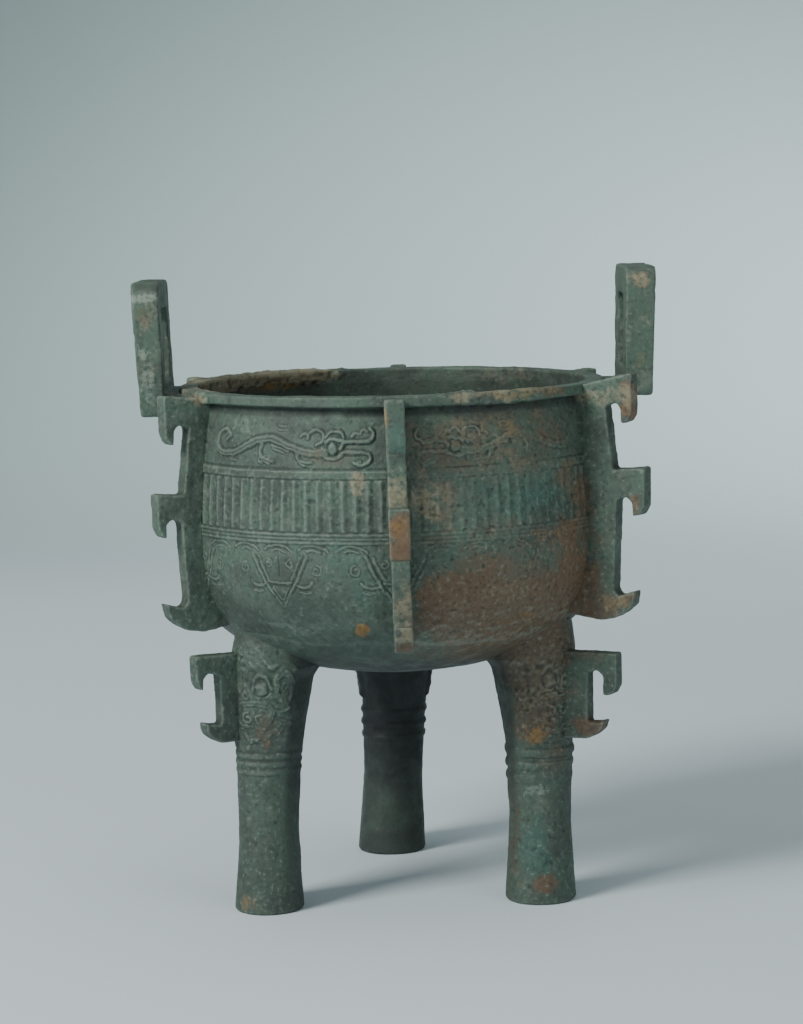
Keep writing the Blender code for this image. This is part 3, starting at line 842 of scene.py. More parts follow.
# ---------------------------------------------------------------- bowl
@dataclass
class Bowl:
    """The turned bowl: bottom, wall, lip and the empty inside, as one closed shell."""

    form: BowlForm = FORM
    sides: int = 290
    spacing: float = 0.003
    lip_spacing: float = 0.0006
    sunk: float = 0.0009
    carved_from: float = 0.158
    pole: float = 0.004
    turn_in: float = 0.108
    bottom_rows: int = 30
    inside_low: float = 0.256
    mouth_low: float = 0.283
    wave: float = 0.00035
    wave_size: float = 0.045
    crust: float = 0.0010
    lump: float = 0.0009
    lump_size: float = 0.0055
    # Painted shade over the inside of the bowl, as least cover of the soot layer.
    inner_painted_shade: float = 0.36

    def profile(self) -> np.ndarray:
        """Rows of (radius, height) from the outer bottom over the lip to the inner bottom.

        The two bottoms are the form's superellipse for the outer and inner size, and
        between them the profile follows the wall, the square lip and the mouth.

        Returns:
            The rows, close together round the lip.
        """
        form = self.form
        bottom = np.linspace(self.pole, self.turn_in, self.bottom_rows)
        outer_z = form.underside(bottom)
        wall_z = np.arange(outer_z[-1] + self.spacing, form.under_lip - 0.004, self.spacing)
        outer_z = np.concatenate([outer_z, wall_z])
        outer = np.column_stack([np.maximum(form.radius(outer_z), 0.0), outer_z])
        outer[:self.bottom_rows, 0] = bottom
        sink = smooth_step(self.carved_from, self.carved_from + 0.006, outer_z)
        outer[:, 0] -= self.sunk * sink
        under, top = form.under_lip, form.rim_top
        neck = float(form.radius(np.array(under)))
        inner_neck = float(form.radius(np.array(self.inside_low))) - form.wall
        lip = np.array([(neck - self.sunk, under - 0.0035), (neck, under - 0.0004),
                        (form.lip_radius, under), (form.lip_radius, top), (form.mouth_radius, top),
                        (form.mouth_radius, self.mouth_low), (inner_neck, self.inside_low)])
        walked = np.concatenate([[0.0], np.cumsum(np.linalg.norm(np.diff(lip, axis=0), axis=1))])
        at = np.arange(0.0, walked[-1], self.lip_spacing)
        band = np.stack([np.interp(at, walked, lip[:, k]) for k in range(2)], axis=1)
        for _ in range(3):
            band[1:-1] = 0.25 * band[:-2] + 0.5 * band[1:-1] + 0.25 * band[2:]
        keep = (band[:, 1] > 0.2815) | (np.arange(len(band)) % 4 == 0)
        inner_radius = form.belly_radius - form.wall
        inner_bottom = form.bottom + form.wall
        inner_top = self.inside_low - self.spacing
        down = np.arange(inner_top, form.belly_height + self.spacing / 2.0, -self.spacing)
        inner_wall = np.column_stack([form.radius(down) - form.wall, down])
        turn = np.radians(np.linspace(90.0, 2.0, 44))
        power = 2.0 / form.fullness
        inner_z = form.belly_height - (form.belly_height - inner_bottom) * np.cos(turn) ** power
        inner = np.column_stack([inner_radius * np.sin(turn) ** power, inner_z])
        return np.vstack([outer, band[keep], inner_wall, inner])

    def build(self, foundry: Foundry) -> None:
        """Turn the profile about the axis, close it with two poles and roughen it.

        Args:
            foundry: Makes the finished piece.
        """
        rows = self.profile()
        azimuths = np.linspace(0.0, 360.0, self.sides, endpoint=False)
        points = self.form.place(azimuths[:, None], rows[None, :, 0], rows[None, :, 1])
        steps = np.gradient(rows, axis=0)
        steps /= np.linalg.norm(steps, axis=1)[:, None]
        level = self.form.place(azimuths, np.ones(self.sides), 0.0) - [self.form.axis_x, 0.0, 0.0]
        upward = np.array([0.0, 0.0, 1.0])
        normals = level[:, None, :] * steps[None, :, 1, None] - upward * steps[None, :, 0, None]
        wave = self.wave * rough_noise(points, self.wave_size, 41, 2)
        crust = np.zeros(points.shape[:2])
        for stain in STAINS:
            if stain.layer is Layer.EARTH:
                crust += stain.cover(points.reshape(-1, 3)).reshape(points.shape[:2])
        lumps = self.crust + self.lump * rough_noise(points, self.lump_size, 51)
        lumps *= np.clip(crust, 0.0, 1.0)
        points = points + normals * (wave + cast_skin(points) + lumps)[..., None]
        count, around = points.shape[:2]
        flat = points.reshape(-1, 3)
        poles = np.array([[self.form.axis_x, 0.0, z] for z in rows[[0, -1], 1]])
        ring = np.arange(count)
        nxt = (ring + 1) % count
        row = np.arange(around - 1)
        quads = np.stack(np.broadcast_arrays(
            ring[:, None] * around + row, nxt[:, None] * around + row,
            nxt[:, None] * around + row + 1, ring[:, None] * around + row + 1), -1).reshape(-1, 4)
        faces = [tuple(f) for f in quads.tolist()]
        low, high = len(flat), len(flat) + 1
        first = [(int(a) * around, int(b) * around) for a, b in zip(ring, nxt)]
        faces += [(low, b, a) for a, b in first]
        faces += [(high, a + around - 1, b + around - 1) for a, b in first]
        # Painted shade over the inside, below the rim's top, and at the inner bottom's pole.
        inside = np.arange(around) > int(np.argmax(rows[:, 1]))
        inside &= rows[:, 1] < self.form.rim_top - 0.0015
        shade_and_soot_cover = np.append(np.tile(self.inner_painted_shade * inside, count), [0.0, self.inner_painted_shade])
        foundry.pour("bowl_shell", np.vstack([flat, poles]), faces, shade_and_soot_cover)


# ---------------------------------------------------------------- wall panels
@dataclass(frozen=True)
class Band:
    """A raised band round the bowl, with cut lines along it."""

    low: float
    high: float
    rise: float
    lines: tuple[float, ...] = ()
    edge: float = 0.0009
    line_depth: float = 0.0006
    line_width: float = 0.0005

    def lay(self, field_: np.ndarray, rows: np.ndarray) -> None:
        """Raise the rows between the edges by a smooth step and cut bell-shaped lines.

        Args:
            field_: Heights over the wall, changed in place.
            rows: Height of each row.
        """
        ease = self.edge / 2
        lift = self.rise * smooth_step(self.low - ease, self.low + ease, rows)
        lift *= smooth_step(self.high + ease, self.high - ease, rows)
        raise_to(field_, np.broadcast_to(lift, field_.shape))
        for line in self.lines:
            field_ -= self.line_depth * np.exp(-(((rows[None, :] - line) / self.line_width) ** 2))


@dataclass(frozen=True)
class Ribbing:
    """Upright round ribs in a row."""

    count: int = 18
    low: float = 0.2188
    high: float = 0.2476
    clearance: float = 3.9
    rise: float = 0.0014

    def lay(self, field_: np.ndarray, azimuths: np.ndarray, rows: np.ndarray,
            start: float, end: float) -> None:
        """Raise ribs whose section is a rounded cosine wave, with eased ends.

        Args:
            field_: Heights over the wall, changed in place.
            azimuths: Azimuth of each column.
            rows: Height of each row.
            start: Azimuth of the panel's left flange.
            end: Azimuth of its right flange.
        """
        first, last = start + self.clearance, end - self.clearance
        pitch = (last - first) / (self.count - 1)
        phase = (azimuths - first) / pitch
        wave = 0.5 + 0.5 * np.cos(2.0 * math.pi * phase)
        inside = smooth_step(-0.5, -0.42, phase)
        inside *= smooth_step(self.count - 0.5, self.count - 0.58, phase)
        ends = smooth_step(self.low, self.low + 0.0016, rows)
        ends *= smooth_step(self.high, self.high - 0.0012, rows)
        rib = self.rise * (wave**1.6) * inside
        raise_to(field_, rib[:, None] * ends[None, :])


BANDS = (Band(0.2478, 0.2520, 0.0010, (0.2530,)), Band(0.2132, 0.2188, 0.0009, (0.2150, 0.2169)))


@dataclass
class Dragon:
    """A crawling dragon, drawn from the tail at the left to the snout at the right.

    Points are degrees from the panel's middle and millimetres up.
    """

    radius: float = FORM.belly_radius

    def marks(self) -> list[Stroke | Boss]:
        """Every raised stroke, knob and cut line of the beast.

        Returns:
            The marks, raised and cut.
        """
        body = ((-18.6, 266.8, 2.0), (-17.3, 269.8, 2.4), (-19.2, 272.6, 2.8),
                (-21.7, 270.0, 3.2), (-22.3, 265.5, 3.8), (-21.6, 261.8, 4.4),
                (-19.2, 259.8, 4.8), (-15.5, 260.6, 4.8), (-12.0, 263.2, 5.0),
                (-8.5, 266.4, 5.2), (-5.2, 268.4, 5.6), (-2.6, 268.7, 5.8),
                (1.0, 266.6, 5.8), (4.0, 264.4, 5.6), (7.0, 262.2, 5.6),
                (10.5, 261.4, 5.8), (13.4, 262.4, 6.0))
        marks: list[Stroke | Boss] = [
            swelling(1.4, *body),
            groove(1.2, 0.7, *((a, z - 0.3) for a, z, _ in body[5:-1])),
            groove(0.9, 0.4, *((a, z - w * 0.58) for a, z, w in body[7:-1])),
        ]
        marks += [
            # hind leg, its claws, and the plume behind it
            ribbon(3.6, 1.2, (-5.4, 266.0), (-5.9, 262.2), (-5.4, 259.0)),
            ridge(2.0, 1.2, (-5.6, 259.2), (-3.6, 257.6), (-1.6, 256.6)),
            ridge(1.8, 1.1, (-5.6, 258.8), (-4.6, 256.6), (-2.9, 255.4)),
            ridge(1.7, 1.0, (-6.0, 258.8), (-6.2, 256.8), (-5.4, 255.6)),
            ridge(1.5, 0.9, (-2.6, 264.8), (0.2, 263.8), (2.8, 262.0)),
            ridge(1.4, 0.8, (-2.2, 263.2), (-0.2, 262.4), (1.2, 261.2)),
            # fore leg and its claws
            ribbon(3.2, 1.1, (5.6, 261.8), (5.5, 259.4), (6.2, 257.6)),
            ridge(1.9, 1.1, (6.0, 258.0), (7.8, 256.6), (9.6, 256.2)),
            ridge(1.7, 1.0, (6.0, 257.6), (6.8, 255.4), (8.4, 254.6)),
            # crest over the neck, and the ear
            ridge(2.2, 1.0, (6.4, 270.0), (7.4, 271.6), (8.4, 270.6)),
            ridge(2.4, 1.3, (8.2, 269.0), (9.0, 272.2), (11.0, 273.8), (12.7, 271.6), (12.4, 267.6),
                  (10.6, 265.8)),
            ridge(2.4, 1.3, (13.2, 269.6), (14.6, 272.2), (17.2, 272.4), (18.3, 270.0)),
            # head round the eye
            ribbon(3.0, 1.2, (12.6, 264.0), (13.2, 260.0), (15.6, 258.8), (17.6, 260.4)),
            ribbon(3.0, 1.4, (13.4, 267.6), (16.0, 268.8), (18.2, 267.8)),
            knob(15.4, 264.0, 2.8, 3.2, 2.3, 0.8),
            # upper lip, its turned-up end and the brows over it
            ribbon(3.1, 1.6, (17.4, 264.0), (18.2, 266.6), (20.2, 267.4), (23.2, 267.4), (25.2, 268.4),
                   (25.9, 271.2), (25.2, 273.8)),
            groove(1.0, 0.7, (17.8, 263.4), (18.8, 265.6), (21.0, 265.9), (24.6, 266.0)),
            ridge(1.8, 0.9, (20.4, 270.0), (21.2, 272.2), (22.8, 271.6)),
            ridge(1.5, 0.8, (22.8, 272.6), (23.8, 273.6), (24.4, 272.4)),
            # lower jaw curling under
            ribbon(2.8, 1.5, (17.8, 261.4), (20.6, 261.8), (23.8, 261.6), (25.2, 260.0), (25.0, 257.0),
                   (23.2, 255.4), (21.0, 256.0)),
            groove(1.0, 0.6, (18.6, 259.8), (21.0, 259.9), (23.2, 259.4)),
            ridge(1.3, 1.0, (21.2, 256.6), (22.6, 257.4), (22.4, 256.0)),
            # dashes over the back
            ridge(1.2, 0.6, (-0.6, 275.7), (2.0, 275.3)),
            ridge(1.2, 0.6, (-0.4, 273.4), (2.2, 273.1)),
            ridge(1.2, 0.5, (-17.0, 257.0), (-14.4, 256.2)),
            groove(1.0, 0.5, *spiral((-19.6, 268.0), 2.2, 0.6, 200.0, -330.0, self.radius)),
        ]
        return marks


@dataclass
class HangingBlade:
    """A pointed leaf hanging from the lower band, with a barb and curls on each side."""

    radius: float = FORM.belly_radius

    def marks(self) -> list[Stroke | Boss]:
        """Edges, inner lines, link, barbs and curls, drawn about the middle line.

        Returns:
            The marks, raised and cut.
        """
        marks: list[Stroke | Boss] = []
        for side in (-1.0, 1.0):
            edge = ((7.9 * side, 206.8, 2.4), (6.5 * side, 199.6, 2.3), (4.8 * side, 192.6, 2.2),
                    (2.6 * side, 185.6, 2.0), (0.3 * side, 178.2, 1.6))
            inner = ((6.0 * side, 205.8), (4.9 * side, 199.8), (3.3 * side, 193.8))
            marks += [
                swelling(0.28, *edge, ditch=0.2),
                groove(1.3, 0.6, *((a - 0.80 * side, z) for a, z, _ in edge[:4])),
                groove(1.0, 0.4, *((a + 0.80 * side, z - 0.3) for a, z, _ in edge[:4])),
                ridge(1.6, 0.32, *inner),
                ridge(1.3, 0.3, (2.3 * side, 188.8), (1.3 * side, 185.2), (0.2 * side, 182.2)),
                ribbon(2.4, 0.5, (4.2 * side, 191.0), (6.2 * side, 189.4), (8.6 * side, 190.4),
                       (9.4 * side, 192.2)),
                groove(1.0, 0.6, (4.8 * side, 189.8), (6.8 * side, 188.4), (8.8 * side, 188.8)),
                ridge(1.4, 0.3, *spiral((10.6 * side, 198.8), 3.4, 0.9, 90.0, -side * 420.0, self.radius)),
                ridge(1.3, 0.3, *spiral((3.3 * side, 202.0), 2.6, 0.8, 90.0, side * 380.0, self.radius)),
                ridge(1.2, 0.4, (9.0 * side, 187.2), (7.4 * side, 186.2), (5.6 * side, 186.8)),
            ]
        marks += [
            ridge(1.6, 0.5, (-3.6, 192.2), (-1.6, 191.6), (1.6, 191.6), (3.6, 192.2)),
            groove(1.0, 0.5, (-2.8, 190.2), (0.0, 189.6), (2.8, 190.2)),
            groove(1.2, 0.6, (0.0, 206.2), (0.0, 195.0)),
        ]
        return marks


@dataclass
class CloudLine:
    """Row of flat scallops with turned-up ends, under the lower band, in degrees and millimetres."""

    pitch: float = 10.0
    top: float = 212.2
    drop: float = 3.6

    def marks(self, start: float, end: float) -> list[Stroke | Boss]:
        """One scallop and one hook for each whole pitch between two flanges.

        Args:
            start: Azimuth of the left flange.
            end: Azimuth of the right flange.

        Returns:
            The raised marks.
        """
        count = int((end - start - 6.0) // self.pitch)
        first = (start + end) / 2.0 - self.pitch * count / 2.0
        marks: list[Stroke | Boss] = []
        for step in range(count):
            a = first + step * self.pitch
            low = self.top - self.drop
            marks += [
                ridge(1.4, 0.6, (a + 0.8, low + 1.0), (a + 2.4, self.top - 0.6), (a + 5.0, self.top),
                      (a + 7.4, self.top - 1.0), (a + 9.0, low + 0.2)),
                ridge(1.2, 0.5, (a + 3.0, low + 0.4), (a + 5.0, low + 1.4), (a + 6.8, low)),
            ]
        return marks


@dataclass
class WallPanel:
    """A carved sector of the bowl's wall between two flanges, as a closed slab."""

    name: str
    start: float
    end: float
    dragon_turn: float
    cell: float = 0.00100
    depth: float = 0.85
    wear: float = 0.25
    stray: float = 0.0004
    slender: float = 0.80
    # Painted shadow under the lip and painted shade over the frieze, as least cover of the soot layer.
    lip_painted_shadow: float = 0.62
    frieze_painted_shade: float = 0.24
    form: BowlForm = FORM
    low: float = 0.150
    plain_to: float = 0.174
    back: float = 0.0024

    def rows(self) -> np.ndarray:
        """Heights of the front rows: wide apart below the carving, then a cell apart.

        Returns:
            The heights, upwards.
        """
        plain_count = max(6, int((self.plain_to - self.low) / (2.6 * self.cell)))
        plain = np.linspace(self.low, self.plain_to, plain_count, endpoint=False)
        count = int((self.form.under_lip - self.plain_to) / self.cell)
        return np.concatenate([plain, np.linspace(self.plain_to, self.form.under_lip - 0.0002, count)])

    def carving(self, azimuths: np.ndarray, rows: np.ndarray) -> np.ndarray:
        """Heights of the carving over the plain wall.

        Args:
            azimuths: Azimuth of each column.
            rows: Height of each row.

        Returns:
            Columns by rows.
        """
        radius = self.form.belly_radius
        columns = np.radians(azimuths) * radius
        field_ = np.zeros((len(azimuths), len(rows)))
        middle = (self.start + self.end) / 2.0
        drawings = [(Dragon().marks(), middle, self.dragon_turn)]
        drawings += [(HangingBlade().marks(), place, 1.0) for place in (self.start, middle, self.end)]
        drawings += [(CloudLine().marks(self.start, self.end), 0.0, 1.0)]
        for marks, place, turn in drawings:
            lay_all(marks, field_, columns, rows, Sheet(place, turn, radius, self.slender))
        return field_

    def build(self, foundry: Foundry) -> None:
        """Bend the carved sheet round the wall and close it with a back sunk in the wall.

        Args:
            foundry: Makes the finished piece.
        """
        rows = self.rows()
        count = int(math.radians(self.end - self.start) * self.form.belly_radius / self.cell) + 2
        azimuths = np.linspace(self.start, self.end, count)
        radius = self.form.radius(rows)
        base = self.form.place(azimuths[:, None], radius[None, :], rows[None, :])
        field_ = wander(self.carving(azimuths, rows), base, self.stray / self.cell)
        Ribbing().lay(field_, azimuths, rows, self.start, self.end)
        for band in BANDS:
            band.lay(field_, rows)
        field_ = wander(field_, base, 0.3 * self.stray / self.cell)
        worn = smooth_step(-0.6, 0.6, rough_noise(base, 0.018, 61))
        crust = crust_over(base)
        field_ *= self.depth * (1.0 - self.wear * worn) * (1.0 - 0.7 * crust)
        lumps = 0.00025 * crust * (1.0 + rough_noise(base, 0.005, 53))
        field_ += cast_skin(base, 1.2 + self.wear) + lumps
        dive = 0.0016 * smooth_step(self.low + 0.006, self.low, rows)
        reach = radius[None, :] + field_ - dive[None, :]
        front = self.form.place(azimuths[:, None], reach, rows[None, :])
        back_rows = np.linspace(rows[-1], rows[0], 14)
        sunk = self.form.radius(back_rows) - self.back
        rear = self.form.place(azimuths[:, None], sunk[None, :], back_rows[None, :])
        points = np.concatenate([front, rear], axis=1)[:, ::-1]
        # Painted shadow under the lip, and weaker painted shade over the frieze; the back rows get none.
        shaded = np.maximum(self.lip_painted_shadow * smooth_step(0.2776, 0.2820, rows),
                            self.frieze_painted_shade * smooth_step(0.2515, 0.2560, rows))
        shaded = np.append(shaded, np.zeros(len(back_rows)))[::-1]
        foundry.pour(self.name, points, tube_faces(count, points.shape[1]), np.tile(shaded, count))


# ---------------------------------------------------------------- flanges
LEAN_FROM = 0.271
PLATE_SPACING = 0.0007


@dataclass(frozen=True)
class Hook:
    """A bar that ends in a hook hanging clear of the stem."""

    reach: float
    top: float
    tip: float
    width: float

    def corners(self, stem: float, gap_rise: float, lift: float = 0.0) -> Outline:
        """Corners of (radius, height), from the bar's outer top inwards.

        Args:
            stem: Radius of the stem that the gap ends at.
            gap_rise: Height of the gap over the tip.
            lift: How far the outer top stands over the given top.

        Returns:
            The corners in order.
        """
        inner = self.reach - self.width
        gap = self.tip + gap_rise
        return [(self.reach, self.top + lift), (self.reach - 0.0002, self.tip + 0.0060),
                (self.reach - 0.0026, self.tip + 0.0012), (inner, self.tip), (inner, gap - 0.0030),
                (inner - 0.0032, gap), (stem + 0.0010, gap - 0.0018)]


def plate(loop: np.ndarray, azimuth: float, thickness: float, lean: float = 0.0) -> Body:
    """Stand an outline of (radius, height) on edge at an azimuth, as a closed body.

    Args:
        loop: Points of the outline, clockwise as seen from growing azimuth.
        azimuth: Direction in which the plate stands out.
        thickness: Thickness of the plate.
        lean: Degrees by which its lower part leans sideways.

    Returns:
        Points and faces.
    """
    turn = math.radians(azimuth)
    across = np.array([math.cos(turn), math.sin(turn), 0.0])
    side = across * thickness / 2.0
    middle = FORM.place(np.full(len(loop), azimuth), loop[:, 0], loop[:, 1])
    shift = math.tan(math.radians(lean)) * (LEAN_FROM - loop[:, 1])
    middle = middle + across * shift[:, None]
    return np.stack([middle - side, middle + side]), tube_faces(2, len(loop))


@dataclass(frozen=True)
class Flange:
    """A hooked flange on the bowl: two bars with hanging hooks and an upturned foot."""

    name: str
    azimuth: float
    upper: Hook
    lower: Hook
    top_in: float
    stem: float
    foot: float
    cell: float = 0.00085
    thickness: float = 0.0102
    lean: float = 0.0
    block: float = 0.0

    def outline(self) -> Outline:
        """Corners whose inner side follows the middle of the wall.

        Returns:
            Corners of (radius, height).
        """
        stem, foot = self.stem, self.foot
        points = [(0.1135, self.top_in), *self.upper.corners(stem - 0.0052, 0.0118)]
        points += [(stem, self.lower.top - 0.0006), *self.lower.corners(stem + 0.0010, 0.0108, 0.0008)]
        low = ((-0.4, 17.5), (1.8, 14.0), (6.2, 15.2), (12.3, 17.2), (10.5, 9.0), (5.2, 4.2),
               (-0.6, 1.3), (-8.5, 0.0), (-16.0, 0.9))
        points += [(stem + out, foot + up) for out, up in map(metres, low)]
        up = np.linspace(foot + 0.0026, self.top_in - 0.0006, 14)
        inner = FORM.radius(np.minimum(up, FORM.under_lip)) - 0.0022
        return points + list(zip(inner.tolist(), up.tolist()))

    def build(self, foundry: Foundry) -> None:
        """Melt the plate, and a thicker block on its lower hook, into one skin.

        Args:
            foundry: Makes the finished piece.
        """
        loop = spaced_loop(self.outline(), PLATE_SPACING, PLATE_SPACING)
        bodies = [plate(loop, self.azimuth, self.thickness, self.lean)]
        if self.block > 0.0:
            back, front = self.lower.reach - self.lower.width, self.lower.reach
            low, high = self.lower.tip + 0.0016, self.lower.top + 0.0006
            corners = np.array([(back, high), (front, high), (front, low), (back, low)])
            bodies.append(plate(corners, self.azimuth, self.thickness + self.block, self.lean))
        foundry.pour_melted(self.name, bodies, self.cell, 1.5)


@dataclass(frozen=True)
class LegFlange:
    """A small flange on a leg: a bar with a hanging hook over an upturned foot hook."""

    name: str
    azimuth: float
    hook: Hook
    stem: float
    foot: float
    gap: float
    barb: float
    inner: float = 0.090
    cell: float = 0.00085
    thickness: float = 0.0088

    def outline(self) -> Outline:
        """Corners of the bar, the hook and the barb under it.

        Returns:
            Corners of (radius, height).
        """
        stem, foot = self.stem, self.foot
        barb = foot + self.barb
        points = [(self.inner, self.hook.top - 0.0010), *self.hook.corners(stem - 0.0004, self.gap)]
        points += [(stem, barb), (stem + 0.0064, barb + 0.0004), (stem + 0.0102, barb + 0.0016)]
        points += [(stem + out, foot + up) for out, up in ((0.0088, 0.0066), (0.0046, 0.0028), (0.0, 0.0008))]
        return points + [(self.inner, foot - 0.0006)]

    def build(self, foundry: Foundry) -> None:
        """Melt the plate into a soft-edged skin.

        Args:
            foundry: Makes the finished piece.
        """
        loop = spaced_loop(self.outline(), PLATE_SPACING, PLATE_SPACING)
        foundry.pour_melted(self.name, [plate(loop, self.azimuth, self.thickness)], self.cell, 1.3)


# ---------------------------------------------------------------- handles
@dataclass(frozen=True)
class Handle:
    """An upright handle with a window, and the bridge that ties it to the rim."""

    name: str
    side: float
    foot: float
    top: float
    inner: float
    inner_lean: float
    outer_lean: float
    thickness: float
    width: float = 0.076
    window: tuple[float, float] = (0.040, 0.040)
    top_bar: float = 0.0155
    corner: float = 0.009
    foot_corner: float = 0.003
    window_corners: tuple[float, float] = (0.005, 0.007)
    bridge_width: float = 0.060
    bridge_top: float = 0.2888
    bridge_from: float = 0.1128
    cell: float = 0.0010

    def slab_point(self, across: np.ndarray, height: np.ndarray, outer: bool) -> np.ndarray:
        """Carry (across, height) to the slab's inner or outer face, which lean outwards.

        Args:
            across: Distance from the handle's middle, along Y.
            height: Heights above the ground.
            outer: Whether the outer face is meant.

        Returns:
            Points in the vessel's frame.
        """
        start = self.inner + (self.thickness if outer else 0.0)
        lean = math.tan(math.radians(self.outer_lean if outer else self.inner_lean))
        out = start + lean * (height - self.foot)
        return np.stack([FORM.axis_x + self.side * out, across, height], axis=-1)

    def rounded(self, half: float, low: float, high: float, low_corner: float,
                high_corner: float, steps: int = 8) -> np.ndarray:
        """Rectangle of (across, height) with rounded corners, anticlockwise.

        Args:
            half: Half its width.
            low: Height of its lower side.
            high: Height of its upper side.
            low_corner: Radius of the lower corners.
            high_corner: Radius of the upper corners.
            steps: Points in each corner.

        Returns:
            Its points.
        """
        parts = []
        corners = ((half, low, low_corner, -90.0), (half, high, high_corner, 0.0),
                   (-half, high, high_corner, 90.0), (-half, low, low_corner, 180.0))
        for cx, cz, corner, start in corners:
            turns = np.radians(np.linspace(start, start + 90.0, steps))
            x = cx - math.copysign(corner, cx) + corner * np.cos(turns)
            z = cz + (corner if cz == low else -corner) + corner * np.sin(turns)
            parts.append(np.stack([x, z], axis=1))
        return np.vstack(parts)

    def build(self, foundry: Foundry) -> None:
        """Ring the slab round its window, add the bridge and melt them into one skin.

        The ring's section has four corners at each step round the window: outer edge and
        window edge on the inner face, then the same on the outer face.

        Args:
            foundry: Makes the finished piece.
        """
        high = self.top - self.top_bar
        rim = self.rounded(self.width / 2.0, self.foot, self.top, self.foot_corner, self.corner)
        gap = self.rounded(self.window[0] / 2.0, high - self.window[1], high, *self.window_corners)
        corners = ((rim, False), (rim, True), (gap, True), (gap, False))
        ring = np.stack([self.slab_point(*loop.T, outer) for loop, outer in corners], axis=1)
        turn = 1 if self.side > 0 else -1
        bodies = [(ring[:, ::turn], tube_faces(len(rim), 4, closed=True))]
        half, low, top = self.bridge_width / 2.0, self.foot + 0.0006, self.bridge_top
        across = ((-half, low), (half, low), (half, top), (-half, top))
        ends = [FORM.axis_x + self.side * out for out in (self.bridge_from, self.inner + 0.0040)]
        box = np.array([[(x, y, z) for y, z in across] for x in ends])
        bodies.append((box[:, ::turn], tube_faces(2, 4)))
        foundry.pour_melted(self.name, bodies, self.cell, 1.3)


# ---------------------------------------------------------------- legs
@dataclass
class Mask:
    """One half of the beast mask on a leg, in degrees from the flange and millimetres up."""

    radius: float = 0.0195

    def marks(self) -> list[Stroke | Boss]:
        """Horn, ear, eye, cheek and chin, with their cut lines.

        Returns:
            The marks, raised and cut.
        """
        horn = ((9.0, 137.2, 4.0), (20.0, 140.6, 4.4), (36.0, 141.2, 4.6),
                (52.0, 138.4, 4.4), (66.0, 135.2, 3.6), (74.0, 136.4, 2.6))
        ear = ((78.0, 120.4, 3.4), (72.0, 126.2, 4.0), (76.0, 132.2, 4.2),
               (90.0, 133.6, 4.0), (99.0, 128.2, 3.6), (95.0, 121.4, 3.0))
        cheek = ((12.0, 118.6, 3.6), (34.0, 119.6, 4.2), (56.0, 118.6, 4.2), (66.0, 114.2, 3.8),
                 (60.0, 109.2, 3.4), (44.0, 108.6, 2.8), (40.0, 111.8, 2.2), (50.0, 113.4, 1.8))
        chin = ((9.0, 104.4, 3.0), (24.0, 99.4, 3.4), (40.0, 98.4, 3.6), (58.0, 101.0, 3.4),
                (74.0, 105.2, 2.6))
        marks: list[Stroke | Boss] = [
            swelling(1.4, *horn),
            groove(1.1, 0.7, *((a, z - 0.2) for a, z, _ in horn[:-1])),
            swelling(1.3, *ear),
            groove(1.1, 0.7, *((a, z) for a, z, _ in ear[1:-1])),
            swelling(1.4, *cheek),
            groove(1.1, 0.7, *((a, z) for a, z, _ in cheek[:5])),
            swelling(1.1, *chin),
            groove(1.0, 0.6, *((a, z) for a, z, _ in chin[:-1])),
            knob(49.0, 126.4, 3.4, 2.8, 2.6, 0.9),
            ridge(2.0, 1.2, (34.0, 126.8), (42.0, 130.6), (56.0, 130.8), (64.0, 127.2)),
            ridge(1.6, 1.0, (36.0, 124.6), (44.0, 122.4), (56.0, 122.4), (64.0, 124.8)),
            ridge(1.5, 0.9, *spiral((18.0, 133.0), 3.0, 0.8, 260.0, 400.0, self.radius)),
            ridge(1.6, 1.0, *spiral((20.0, 124.2), 3.4, 0.9, 100.0, -420.0, self.radius)),
            ridge(1.3, 0.7, *spiral((85.0, 127.2), 2.2, 0.6, 90.0, 360.0, self.radius)),
            ridge(1.6, 1.0, *spiral((24.0, 111.0), 3.4, 0.9, 80.0, 400.0, self.radius)),
            ridge(1.6, 0.9, (10.0, 108.0), (20.0, 106.0), (32.0, 106.2)),
            ridge(2.0, 1.0, (70.0, 116.2), (84.0, 115.2), (96.0, 117.2)),
            ridge(1.8, 0.9, (72.0, 111.2), (86.0, 109.6), (98.0, 111.2)),
            ridge(2.0, 0.9, (82.0, 140.0), (94.0, 138.4), (104.0, 135.2)),
        ]
        return marks


COLUMN = ((0.0, 0.0194), (0.024, 0.0180), (0.050, 0.0170), (0.100, 0.0187), (0.113, 0.0193),
          (0.128, 0.0195), (0.148, 0.0194), (0.172, 0.0160))


